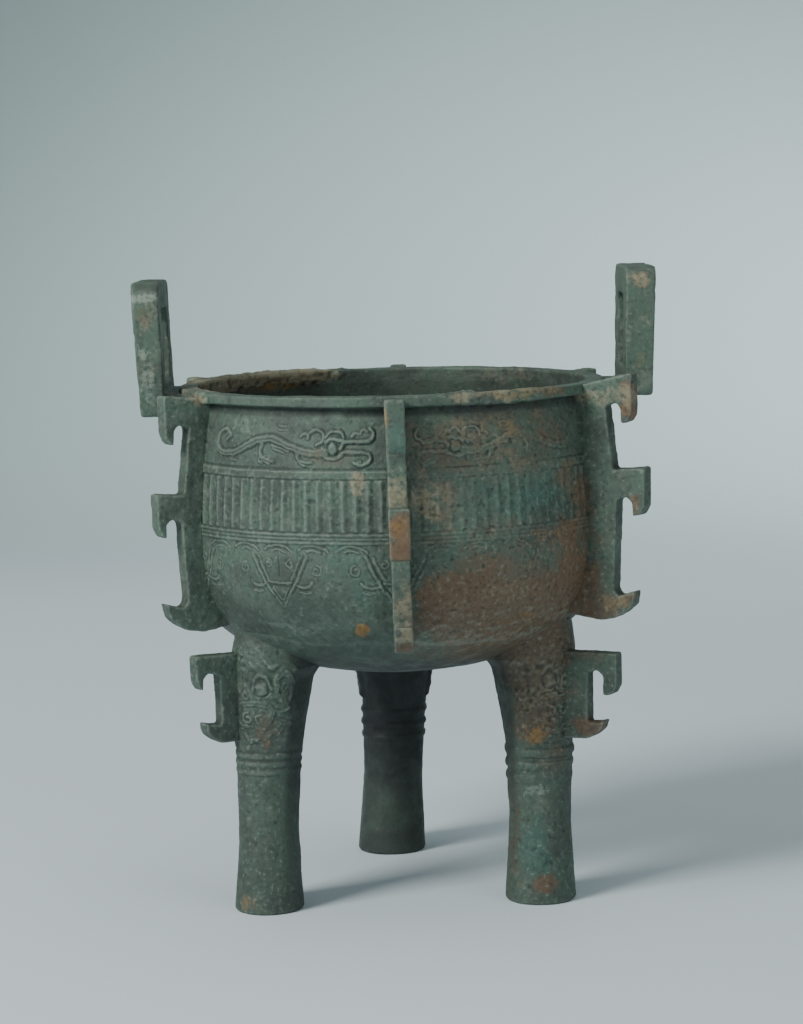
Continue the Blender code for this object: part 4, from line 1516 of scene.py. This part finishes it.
@dataclass(frozen=True)
class Leg:
    """A column leg, waisted, with raised rings, a mask and a fillet into the bowl."""

    name: str
    azimuth: float
    distance: float
    drift: float
    ring_low: float
    ring_pitch: float
    cell: float = 0.00060
    rings: int = 3
    ring_rise: float = 0.0006
    ring_share: float = 0.32
    ground: float = 0.0004
    depth: float = 0.52
    wear: float = 0.5
    stray: float = 0.0005
    slender: float = 0.85
    swell: float = 0.0
    scale: float = 0.00042
    mask_low: float = 0.0925
    # Painted shade on the side facing the bowl's axis: its greatest cover, and the share of the way round to
    # that side where it is half.
    shade: float = 0.60
    shade_from: float = 0.48
    common_top: float = 0.1250
    fillet_start: float = 0.084
    fillet_top: float = 0.137
    fillet_reach: float = 0.0080
    fillet_power: float = 1.4
    crown_start: float = 0.130
    crown_top: float = 0.138
    crown_reach: float = 0.0045
    sole_ease: float = 0.0011
    sole_edge: float = 0.0020
    mask_top: tuple[float, float] = (0.1440, 0.1370)
    mask_turn: float = 112.0
    top_range: tuple[float, float] = (0.1320, 0.1680)

    def radius(self, height: np.ndarray) -> np.ndarray:
        """Radius of the plain column, an even curve through its rows of (height, radius)."""
        line = flowing_line(COLUMN, 8)
        return np.interp(height, line[:, 0], line[:, 1]) + self.swell

    def surface(self, turns: np.ndarray, height: np.ndarray, lift: np.ndarray) -> np.ndarray:
        """Points of the column.

        The column's middle drifts sideways with height. Its radius grows on the side that
        faces the bowl's axis, by the fillet's reach times a power of the way up and the
        square of a raised cosine of the turn.

        Args:
            turns: Degrees round the leg from its outward side.
            height: Height of each point.
            lift: Carving over the plain surface.

        Returns:
            Points in the vessel's frame.
        """
        out = FORM.place(np.array(self.azimuth), np.array(self.distance), 0.0)
        rise = share_between(self.fillet_start, self.fillet_top, height)
        crown = share_between(self.crown_start, self.crown_top, height)
        inward = 0.5 - 0.5 * np.cos(np.radians(turns))
        flare = self.fillet_reach * rise**self.fillet_power + self.crown_reach * crown**2
        rounding = self.sole_ease * np.clip(1.0 - height / self.sole_edge, 0.0, 1.0) ** 2
        reach = self.radius(height) + lift + flare * inward**2 - rounding
        angle = np.radians(self.azimuth + turns)
        x = out[0] + self.drift * height / 0.100 + reach * np.sin(angle)
        y = out[1] - reach * np.cos(angle)
        return np.stack(np.broadcast_arrays(x, y, height), axis=-1)

    def rounds(self, rows: np.ndarray) -> np.ndarray:
        """Height of the rings over the plain column, each the upper half of an ellipse.

        Args:
            rows: Heights above the ground.

        Returns:
            The height of the rings at each row.
        """
        steps = self.ring_low + self.ring_pitch * np.arange(self.rings)
        share = (rows[None, :] - steps[:, None]) / (self.ring_pitch * self.ring_share)
        return self.ring_rise * np.sqrt(np.clip(1.0 - share * share, 0.0, 1.0)).max(axis=0)

    def carving(self, turns: np.ndarray, rows: np.ndarray) -> np.ndarray:
        """Both halves of the mask, on their raised ground, over the plain column.

        Args:
            turns: Degrees round the leg from its outward side.
            rows: Heights above the ground.

        Returns:
            Columns by rows.
        """
        radius = Mask().radius
        field_ = np.zeros((len(turns), len(rows)))
        columns = np.radians(turns) * radius
        for side in (-1.0, 1.0):
            lay_all(Mask().marks(), field_, columns, rows, Sheet(0.0, side, radius, self.slender))
        front = smooth_step(self.mask_turn, self.mask_turn - 8.0, np.abs(turns))[:, None]
        raised = smooth_step(self.mask_low - 0.0006, self.mask_low + 0.0006, rows)[None, :]
        return self.depth * field_ + self.ground * front * raised

    def build(self, foundry: Foundry) -> None:
        """Raise the column ring by ring; its top follows the bowl's wall and ends inside it.

        Args:
            foundry: Makes the finished piece.
        """
        count = int(2.0 * math.pi * Mask().radius / self.cell)
        turns = np.linspace(-180.0, 180.0, count, endpoint=False)
        fine_from = self.ring_low - 0.004
        plain = np.arange(0.0030, fine_from, self.cell * 2.4)
        fine = np.arange(fine_from, 0.1450, self.cell)
        rows = np.concatenate([np.linspace(0.0, 0.0024, 6), plain, fine])
        field_ = self.carving(turns, rows) * smooth_step(0.1415, 0.1365, rows)[None, :]
        grid_turns = np.broadcast_to(turns[:, None], field_.shape)
        plain_top = self.surface(turns, np.full(count, 0.150), 0.0)
        far = np.hypot(plain_top[:, 0] - FORM.axis_x, plain_top[:, 1])
        tops = np.clip(FORM.underside(far) + 0.0020, *self.top_range)
        share = share_between(self.common_top, rows[-1], rows)
        height = rows[None, :] + share[None, :] * (tops[:, None] - rows[-1])
        base = self.surface(grid_turns, height, 0.0)
        worn = smooth_step(-0.5, 0.7, rough_noise(base, 0.012, 71))
        field_ = wander(field_, base, self.stray / self.cell)
        raise_to(field_, np.broadcast_to(self.rounds(rows), field_.shape))
        field_ = wander(field_, base, 0.4 * self.stray / self.cell)
        lift = field_ * (1.0 - self.wear * worn) * (1.0 - 0.6 * crust_over(base))
        lift += cast_skin(base, 1.4)
        carved = smooth_step(self.mask_low, self.mask_low + 0.004, height)
        carved *= smooth_step(*self.mask_top, height)
        carved *= smooth_step(self.mask_turn, self.mask_turn - 16.0, np.abs(turns))[:, None]
        lift += self.scale * carved * rough_noise(base, 0.0030, 91, 2)
        points = self.surface(grid_turns, height, lift)
        points[:, 0, 2] = 0.0
        # Painted shade on the side that faces the bowl's axis, weaker near the ground.
        inward = 0.5 - 0.5 * np.cos(np.radians(grid_turns))
        shaded = self.shade * smooth_step(self.shade_from - 0.12, self.shade_from + 0.12, inward)
        shaded *= 0.55 + 0.45 * smooth_step(0.02, 0.09, height)
        rings = points.transpose(1, 0, 2)
        foundry.pour(self.name, rings, tube_faces(len(rows), count), shaded.T.reshape(-1))


# ---------------------------------------------------------------- finish
class Sheetwork:
    """Places shader nodes in a tree and joins them."""

    def __init__(self, tree: bpy.types.NodeTree) -> None:
        """Work on a node tree."""
        self.tree = tree

    def node(self, kind: str, **settings: object) -> bpy.types.Node:
        """Add a node and set its properties.

        Args:
            kind: Type of the node.
            settings: Its properties.

        Returns:
            The new node.
        """
        made = self.tree.nodes.new(kind)
        for key, value in settings.items():
            setattr(made, key, value)
        return made

    def join(self, source: object, socket: bpy.types.NodeSocket) -> None:
        """Feed a socket from another socket, or give it a plain value.

        Args:
            source: A socket or a plain value.
            socket: The socket that is fed.
        """
        if isinstance(source, bpy.types.NodeSocket):
            self.tree.links.new(source, socket)
        else:
            socket.default_value = source

    def feed(self, made: bpy.types.Node, *sources: object) -> None:
        """Feed a node's sockets in order."""
        for source, socket in zip(sources, made.inputs):
            self.join(source, socket)

    def math(self, operation: str, a: object, b: object = 0.0) -> bpy.types.NodeSocket:
        """Combine two values.

        Args:
            operation: How they are combined.
            a: First value.
            b: Second value.

        Returns:
            The result.
        """
        made = self.node("ShaderNodeMath", operation=operation)
        self.feed(made, a, b)
        return made.outputs[0]

    def blend(self, a: object, b: object, share_a: float, share_b: float) -> bpy.types.NodeSocket:
        """Add two values, each times its own share."""
        return self.math("ADD", self.math("MULTIPLY", a, share_a), self.math("MULTIPLY", b, share_b))

    def span(self, value: object, low: float, high: float, to_low: float = 0.0,
             to_high: float = 1.0) -> bpy.types.NodeSocket:
        """Stretch a value from one range to another by a smooth step.

        Args:
            value: The value.
            low: Where it starts.
            high: Where it ends.
            to_low: Result at the start.
            to_high: Result at the end.

        Returns:
            The stretched value.
        """
        made = self.node("ShaderNodeMapRange", interpolation_type="SMOOTHSTEP")
        self.feed(made, value, low, high, to_low, to_high)
        return made.outputs[0]

    def mix(self, share: object, a: object, b: object) -> bpy.types.NodeSocket:
        """Mix two colours.

        Args:
            share: Share of the second colour.
            a: First colour.
            b: Second colour.

        Returns:
            The mixed colour.
        """
        made = self.node("ShaderNodeMix", data_type="RGBA")
        for source, index in ((share, 0), (a, 6), (b, 7)):
            self.join(source, made.inputs[index])
        return made.outputs[2]

    def noise(self, vector: bpy.types.NodeSocket, scale: float, detail: float = 3.0,
              roughness: float = 0.55) -> bpy.types.NodeSocket:
        """Noise over a vector, as one value.

        Args:
            vector: Where the noise is read.
            scale: Cells in a metre.
            detail: How many finer sizes are added.
            roughness: How strong those are.

        Returns:
            The noise.
        """
        made = self.node("ShaderNodeTexNoise")
        for source, name in ((vector, "Vector"), (scale, "Scale"), (detail, "Detail"),
                             (roughness, "Roughness")):
            self.join(source, made.inputs[name])
        return made.outputs[0]

    def mask(self, layer: Layer) -> bpy.types.NodeSocket:
        """One of the piece's own layers."""
        return self.node("ShaderNodeAttribute", attribute_name=layer.value).outputs["Fac"]


Colour = tuple[float, float, float, float]


def colour(red: float, green: float, blue: float) -> Colour:
    """Colour for a shader from display values of 0 to 255, by the display's curve.

    Args:
        red: Red share.
        green: Green share.
        blue: Blue share.

    Returns:
        The colour with full cover.
    """
    shares = [c / 255.0 for c in (red, green, blue)]
    linear = [s / 12.92 if s <= 0.04045 else ((s + 0.055) / 1.055) ** 2.4 for s in shares]
    return (linear[0], linear[1], linear[2], 1.0)


GroupWork = tuple[bpy.types.NodeTree, Sheetwork, bpy.types.bpy_prop_collection, bpy.types.Node]


def new_material(name: str) -> tuple[bpy.types.Material, Sheetwork, bpy.types.Node]:
    """Make a material.

    Args:
        name: Its name.

    Returns:
        The material, its nodes at work and its shader.
    """
    material = bpy.data.materials.new(name)
    material.use_nodes = True
    return material, Sheetwork(material.node_tree), material.node_tree.nodes["Principled BSDF"]


def new_group(name: str, inputs: dict[str, str], outputs: dict[str, str]) -> GroupWork:
    """Make a node group.

    Args:
        name: Its name.
        inputs: Name and kind of each input.
        outputs: Name and kind of each output.

    Returns:
        The group, its nodes at work, its inputs and the node that its outputs are fed to.
    """
    group = bpy.data.node_groups.new(name, "ShaderNodeTree")
    for side, sockets in (("INPUT", inputs), ("OUTPUT", outputs)):
        for label, kind in sockets.items():
            group.interface.new_socket(label, in_out=side, socket_type=f"NodeSocket{kind}")
    work = Sheetwork(group)
    return group, work, work.node("NodeGroupInput").outputs, work.node("NodeGroupOutput")


@dataclass(frozen=True)
class BronzePatina:
    """Old bronze under green and brown minerals."""

    name: str = SLOT
    dark: Colour = colour(71, 84, 75)
    ground: Colour = colour(91, 107, 95)
    green: Colour = colour(79, 102, 87)
    pale: Colour = colour(120, 134, 121)
    hollow: Colour = colour(40, 50, 46)
    edge: Colour = colour(136, 150, 138)
    earth: Colour = colour(137, 132, 108)
    rust: Colour = colour(114, 92, 70)
    ochre: Colour = colour(166, 126, 64)
    bloom: Colour = colour(130, 147, 134)
    teal: Colour = colour(70, 108, 96)
    soot_and_painted_shade: Colour = colour(36, 41, 41)
    # Colour of the painted shade towards the bottom.
    shade: Colour = colour(46, 56, 52)
    metallic: float = 0.15
    roughness: float = 0.62
    bump_strength: float = 0.75
    bump_height: float = 0.0006

    def mottling(self) -> bpy.types.NodeTree:
        """Node group: noises in space from broad clouds to fine grain.

        Returns:
            The group, with outputs in that order.
        """
        outputs = dict.fromkeys(("Clouds", "Patches", "Specks", "Grain"), "Float")
        group, work, inputs, out = new_group("mottling", {"Position": "Vector"}, outputs)
        looks = ((26.0, 3.0, 0.6), (95.0, 4.0, 0.6), (420.0, 3.0, 0.6), (1500.0, 2.0, 0.5))
        work.feed(out, *(work.noise(inputs[0], *look) for look in looks))
        return group

    def overlay(self) -> bpy.types.NodeTree:
        """Node group: one mineral layer over a colour, broken up where it is thin.

        Returns:
            The group, whose outputs are the colour and the share covered.
        """
        sockets = {"Under": "Color", "Over": "Color", "Cover": "Float", "Break": "Float",
                   "Raggedness": "Float"}
        group, work, inputs, out = new_group("mineral_layer", sockets, {"Colour": "Color", "Share": "Float"})
        loose = work.math("MULTIPLY", work.math("SUBTRACT", inputs[3], 0.5), inputs[4])
        broken = work.math("ADD", inputs[2], loose)
        share = work.math("MULTIPLY", work.span(broken, 0.08, 0.88), work.span(inputs[2], 0.0, 0.15))
        work.feed(out, work.mix(share, inputs[0], inputs[1]), share)
        return group

    def lay_over(self, work: Sheetwork, layer: bpy.types.NodeTree,
                 sources: Sequence[object]) -> bpy.types.NodeSocket:
        """Put one mineral layer over the tone so far.

        Args:
            work: The material's nodes.
            layer: The group made by `overlay`.
            sources: Under, over, cover, break and raggedness.

        Returns:
            The new tone.
        """
        over = work.node("ShaderNodeGroup", node_tree=layer)
        work.feed(over, *sources)
        return over.outputs[0]

    def tinted(self, work: Sheetwork, tone: object,
               steps: Sequence[tuple[object, float, float, float, Colour]]) -> bpy.types.NodeSocket:
        """Mix colours over a tone, each by a smooth step of a value.

        Args:
            work: The material's nodes.
            tone: The tone so far.
            steps: Rows of value, where it starts, where it is full, greatest share and colour.

        Returns:
            The new tone.
        """
        for value, low, high, most, tint in steps:
            tone = work.mix(work.span(value, low, high, 0.0, most), tone, tint)
        return tone

    def build(self) -> bpy.types.Material:
        """Mix the patina from clouds, relief and mineral layers, with painted shade low down and over the
        soot layer.

        Returns:
            The finished material.
        """
        material, work, shader = new_material(self.name)
        position = work.node("ShaderNodeTexCoord").outputs["Object"]
        mottle = work.node("ShaderNodeGroup", node_tree=self.mottling())
        work.join(position, mottle.inputs[0])
        clouds, patches, specks, grain = (mottle.outputs[i] for i in range(4))
        between = work.math("SUBTRACT", clouds, patches)
        tone = self.tinted(work, self.dark, (
            (clouds, 0.38, 0.60, 1.0, self.ground),
            (between, -0.06, 0.14, 0.75, self.green),
            (patches, 0.52, 0.72, 0.40, self.pale)))
        layer = self.overlay()
        coarse = work.blend(patches, specks, 0.55, 0.45)
        minerals = ((Layer.TEAL, self.teal, 2.4), (Layer.BLOOM, self.bloom, 2.8),
                    (Layer.RUST, self.rust, 1.8), (Layer.OCHRE, self.ochre, 2.2),
                    (Layer.EARTH, self.earth, 2.2))
        for mask, tint, ragged in minerals:
            tone = self.lay_over(work, layer, (tone, tint, work.mask(mask), coarse, ragged))
        split = work.node("ShaderNodeSeparateXYZ")
        work.join(position, split.inputs[0])
        relief = work.mask(Layer.RELIEF)
        tone = self.tinted(work, tone, (
            # Painted shade: darker towards the bottom, from 222 mm down to 150 mm.
            (split.outputs["Z"], 0.222, 0.150, 0.40, self.shade),
            (relief, 0.50, 0.16, 0.66, self.hollow),
            (relief, 0.56, 0.90, 0.32, self.edge),
            (specks, 0.47, 0.31, 0.46, self.hollow),
            (specks, 0.56, 0.71, 0.38, self.edge)))
        # Soot stains and the pieces' painted shade, laid over all the rest.
        shade_and_soot_cover = work.math("MULTIPLY", work.mask(Layer.SOOT_AND_SHADE), 0.92)
        tone = self.lay_over(work, layer, (tone, self.soot_and_painted_shade, shade_and_soot_cover, coarse, 1.0))
        work.join(tone, shader.inputs["Base Color"])
        shader.inputs["Metallic"].default_value = self.metallic
        rough = work.span(patches, 0.3, 0.7, self.roughness - 0.08, self.roughness + 0.14)
        work.join(rough, shader.inputs["Roughness"])
        bump = work.node("ShaderNodeBump")
        bump.inputs["Strength"].default_value = self.bump_strength
        bump.inputs["Distance"].default_value = self.bump_height
        work.join(work.blend(specks, grain, 0.7, 0.35), bump.inputs["Height"])
        work.join(bump.outputs[0], shader.inputs["Normal"])
        return material


@dataclass(frozen=True)
class PalePaper:
    """Even pale floor that runs into a wall with a painted glow round a spot and painted shade away from it.
    """

    name: str = "pale_floor"
    paper: Colour = colour(223, 237, 243)
    dark: Colour = colour(136, 156, 155)
    light: Colour = colour(225, 248, 249)
    glow_at: tuple[float, float, float] = (0.30, 2.3, -0.30)
    roughness: float = 0.9

    def build(self) -> bpy.types.Material:
        """Mix the floor's colour and, further back, the wall's painted glow round its spot.

        Returns:
            The finished material.
        """
        material, work, shader = new_material(self.name)
        position = work.node("ShaderNodeTexCoord").outputs["Object"]
        away = work.node("ShaderNodeVectorMath", operation="DISTANCE")
        work.feed(away, position, self.glow_at)
        split = work.node("ShaderNodeSeparateXYZ")
        work.join(position, split.inputs[0])
        # Painted light on the wall: bright near the spot, darker further off.
        behind = work.mix(work.span(away.outputs["Value"], 1.64, 0.38), self.dark, self.light)
        tone = work.mix(work.span(split.outputs["Y"], 1.0, 2.2), self.paper, behind)
        work.join(tone, shader.inputs["Base Color"])
        shader.inputs["Roughness"].default_value = self.roughness
        return material


# ---------------------------------------------------------------- studio
@dataclass(frozen=True)
class Lamp:
    """A square soft light that looks at a point."""

    name: str
    place: tuple[float, float, float]
    aim: tuple[float, float, float]
    size: float
    power: float
    tint: tuple[float, float, float] = (0.97, 0.99, 1.0)

    def hang(self) -> None:
        """Put the light up."""
        data = bpy.data.lights.new(self.name, "AREA")
        data.size = self.size
        data.energy = self.power
        data.color = self.tint
        holder = stand(self.name, data)
        holder.location = self.place
        look = Vector(self.aim) - Vector(self.place)
        holder.rotation_euler = look.to_track_quat("-Z", "Y").to_euler()


LAMPS = (
    Lamp("key", (-2.2, -1.75, 2.05), (0.0, 0.0, 0.15), 1.1, 96.0, (1.0, 0.99, 0.97)),
    Lamp("fill", (1.9, -2.2, 1.2), (0.0, 0.0, 0.2), 1.8, 14.0, (0.96, 0.98, 1.0)),
    Lamp("backdrop", (1.3, 1.6, 0.8), (0.3, 2.7, 0.15), 0.6, 10.0),
    Lamp("top", (0.0, 0.1, 2.6), (0.0, 0.0, 0.0), 1.8, 10.0),
)


@dataclass
class Studio:
    """Pale sweep, soft lights and the camera."""

    near: float = -2.6
    bend: float = 1.5
    bend_radius: float = 1.4
    half_width: float = 3.5
    height: float = 4.0
    camera_at: tuple[float, float, float] = (-0.003648, -1.595306, 0.403601)
    pitch: float = 6.7058
    yaw: float = 0.1952
    roll: float = 1.3664
    lens: float = 126.35
    room: tuple[float, float, float, float] = (0.86, 0.93, 0.95, 1.0)
    room_strength: float = 0.265

    def sweep(self) -> None:
        """Floor that bends up into a wall along a quarter circle."""
        turns = np.radians(np.linspace(0.0, 90.0, 24))
        y = np.concatenate([[self.near], self.bend + self.bend_radius * np.sin(turns)])
        z = np.concatenate([[0.0], self.bend_radius * (1.0 - np.cos(turns))])
        y = np.append(y, y[-1])
        z = np.append(z, self.height)
        x = np.array([-self.half_width, self.half_width])
        grid = np.broadcast_arrays(x[:, None], y[None, :], z[None, :])
        points = np.stack(grid, -1).reshape(-1, 3)
        count = len(y)
        faces = [(i, count + i, count + i + 1, i + 1) for i in range(count - 1)]
        mesh = bpy.data.meshes.new("floor")
        mesh.from_pydata(points.tolist(), [], faces)
        mesh.shade_smooth()
        floor = stand("floor", mesh)
        mesh.materials.append(PalePaper().build())
        floor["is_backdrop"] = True

    def lights(self) -> None:
        """Large key at the upper left, weak fill at the right, a soft top and an even room."""
        for lamp in LAMPS:
            lamp.hang()
        world = bpy.data.worlds.new("room")
        world.use_nodes = True
        background = world.node_tree.nodes["Background"]
        background.inputs["Color"].default_value = self.room
        background.inputs["Strength"].default_value = self.room_strength
        bpy.context.scene.world = world

    def camera(self) -> None:
        """Set the camera from its place, pitch, yaw and roll."""
        pitch, yaw, roll = (math.radians(v) for v in (self.pitch, self.yaw, self.roll))
        level = math.cos(pitch)
        forward = Vector((math.sin(yaw) * level, math.cos(yaw) * level, -math.sin(pitch)))
        right = Vector((math.cos(yaw), -math.sin(yaw), 0.0))
        up = right.cross(forward)
        turned_right = right * math.cos(roll) - up * math.sin(roll)
        turned_up = right * math.sin(roll) + up * math.cos(roll)
        frame = Matrix((turned_right, turned_up, -forward)).transposed().to_4x4()
        frame.translation = Vector(self.camera_at)
        data = bpy.data.cameras.new("camera")
        data.sensor_fit = "HORIZONTAL"
        data.sensor_width = 36.0
        data.lens = self.lens
        data.clip_end = 50.0
        holder = stand("camera", data)
        holder.matrix_world = frame
        bpy.context.scene.camera = holder

    def build(self) -> None:
        """Put up the whole studio."""
        self.sweep()
        self.lights()
        self.camera()


# ---------------------------------------------------------------- the vessel
BACK_CELL = 0.0012
FLANGES = (
    Flange("flange_front", 0.5, Hook(0.1425, 0.2912, 0.2620, 0.0060),
           Hook(0.1490, 0.2340, 0.2065, 0.0062), top_in=0.2896, stem=0.1320, foot=0.1555,
           lean=1.0, block=0.0010),
    Flange("flange_right", 62.5, Hook(0.1485, 0.2975, 0.2694, 0.0066),
           Hook(0.1556, 0.2450, 0.2188, 0.0078), top_in=0.2893, stem=0.1370, foot=0.1608),
    Flange("flange_back_right", 121.5, Hook(0.1400, 0.2912, 0.2630, 0.0060),
           Hook(0.1470, 0.2390, 0.2120, 0.0062), top_in=0.2892, stem=0.1325, foot=0.1600, cell=BACK_CELL),
    Flange("flange_back", 178.2, Hook(0.1425, 0.2916, 0.2630, 0.0060),
           Hook(0.1490, 0.2380, 0.2110, 0.0062), top_in=0.2896, stem=0.1330, foot=0.1590, cell=BACK_CELL),
    Flange("flange_back_left", 238.5, Hook(0.1400, 0.2912, 0.2630, 0.0060),
           Hook(0.1470, 0.2380, 0.2110, 0.0062), top_in=0.2892, stem=0.1320, foot=0.1595, cell=BACK_CELL),
    Flange("flange_left", -62.5, Hook(0.1420, 0.2903, 0.2628, 0.0054),
           Hook(0.1478, 0.2362, 0.2122, 0.0052), top_in=0.2872, stem=0.1319, foot=0.1595),
)
LEG_FLANGES = (
    LegFlange("leg_flange_left", -59.0, Hook(0.1320, 0.1470, 0.1272, 0.0046),
              stem=0.1168, foot=0.0968, gap=0.0100, barb=0.0110),
    LegFlange("leg_flange_right", 61.5, Hook(0.1382, 0.1432, 0.1190, 0.0084),
              stem=0.1202, foot=0.0936, gap=0.0142, barb=0.0100),
    LegFlange("leg_flange_back", 182.0, Hook(0.1345, 0.1450, 0.1230, 0.0060),
              stem=0.1185, foot=0.0948, gap=0.0115, barb=0.0110, cell=BACK_CELL),
)
PANELS = (
    WallPanel("wall_front_left", start=-62.5, end=0.5, dragon_turn=1.0, cell=0.00049),
    WallPanel("wall_front_right", start=0.5, end=62.5, dragon_turn=-1.0, cell=0.00049, depth=0.55,
              wear=0.6, stray=0.0009),
    WallPanel("wall_right", start=62.5, end=121.5, dragon_turn=1.0),
    WallPanel("wall_back_right", start=121.5, end=178.2, dragon_turn=-1.0),
    WallPanel("wall_back_left", start=178.2, end=238.5, dragon_turn=1.0),
    WallPanel("wall_left", start=238.5, end=297.5, dragon_turn=-1.0),
)
LEGS = (
    Leg("leg_front_left", -57.6, distance=0.0894, drift=0.0022, ring_low=0.0802, ring_pitch=0.0046),
    Leg("leg_front_right", 62.65, distance=0.0870, drift=0.0008, ring_low=0.0712, ring_pitch=0.0074,
        ring_rise=0.0010, wear=0.65, shade_from=0.66, scale=0.0005, swell=0.0005),
    Leg("leg_back", 184.2, distance=0.0881, drift=0.0036, ring_low=0.0716, ring_pitch=0.0075,
        cell=0.00085, ring_rise=0.0011, ring_share=0.26, ground=0.0022, depth=0.9, wear=0.2,
        mask_low=0.0945, shade=0.95, shade_from=0.56, swell=0.0009),
)
HANDLES = (
    Handle("handle_left", -1.0, foot=0.2762, top=0.3508, inner=0.1257, inner_lean=1.7, outer_lean=2.7,
           thickness=0.0140, corner=0.0135),
    Handle("handle_right", 1.0, foot=0.2822, top=0.3535, inner=0.1295, inner_lean=0.8, outer_lean=2.3,
           thickness=0.0150),
)


def main() -> None:
    """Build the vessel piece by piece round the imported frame, and the studio round it."""
    logging.basicConfig(level=logging.INFO, format="%(name)s: %(message)s")
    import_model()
    cad_box = [list(map(float, corner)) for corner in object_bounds()]
    foundry = Foundry(BronzePatina().build(), np.array(cad_box))
    Bowl().build(foundry)
    for part in (*PANELS, *FLANGES, *LEG_FLANGES, *HANDLES, *LEGS):
        part.build(foundry)
    Studio().build()
    LOG.info("%d pieces", len(foundry.made))


if __name__ == "__main__":
    main()
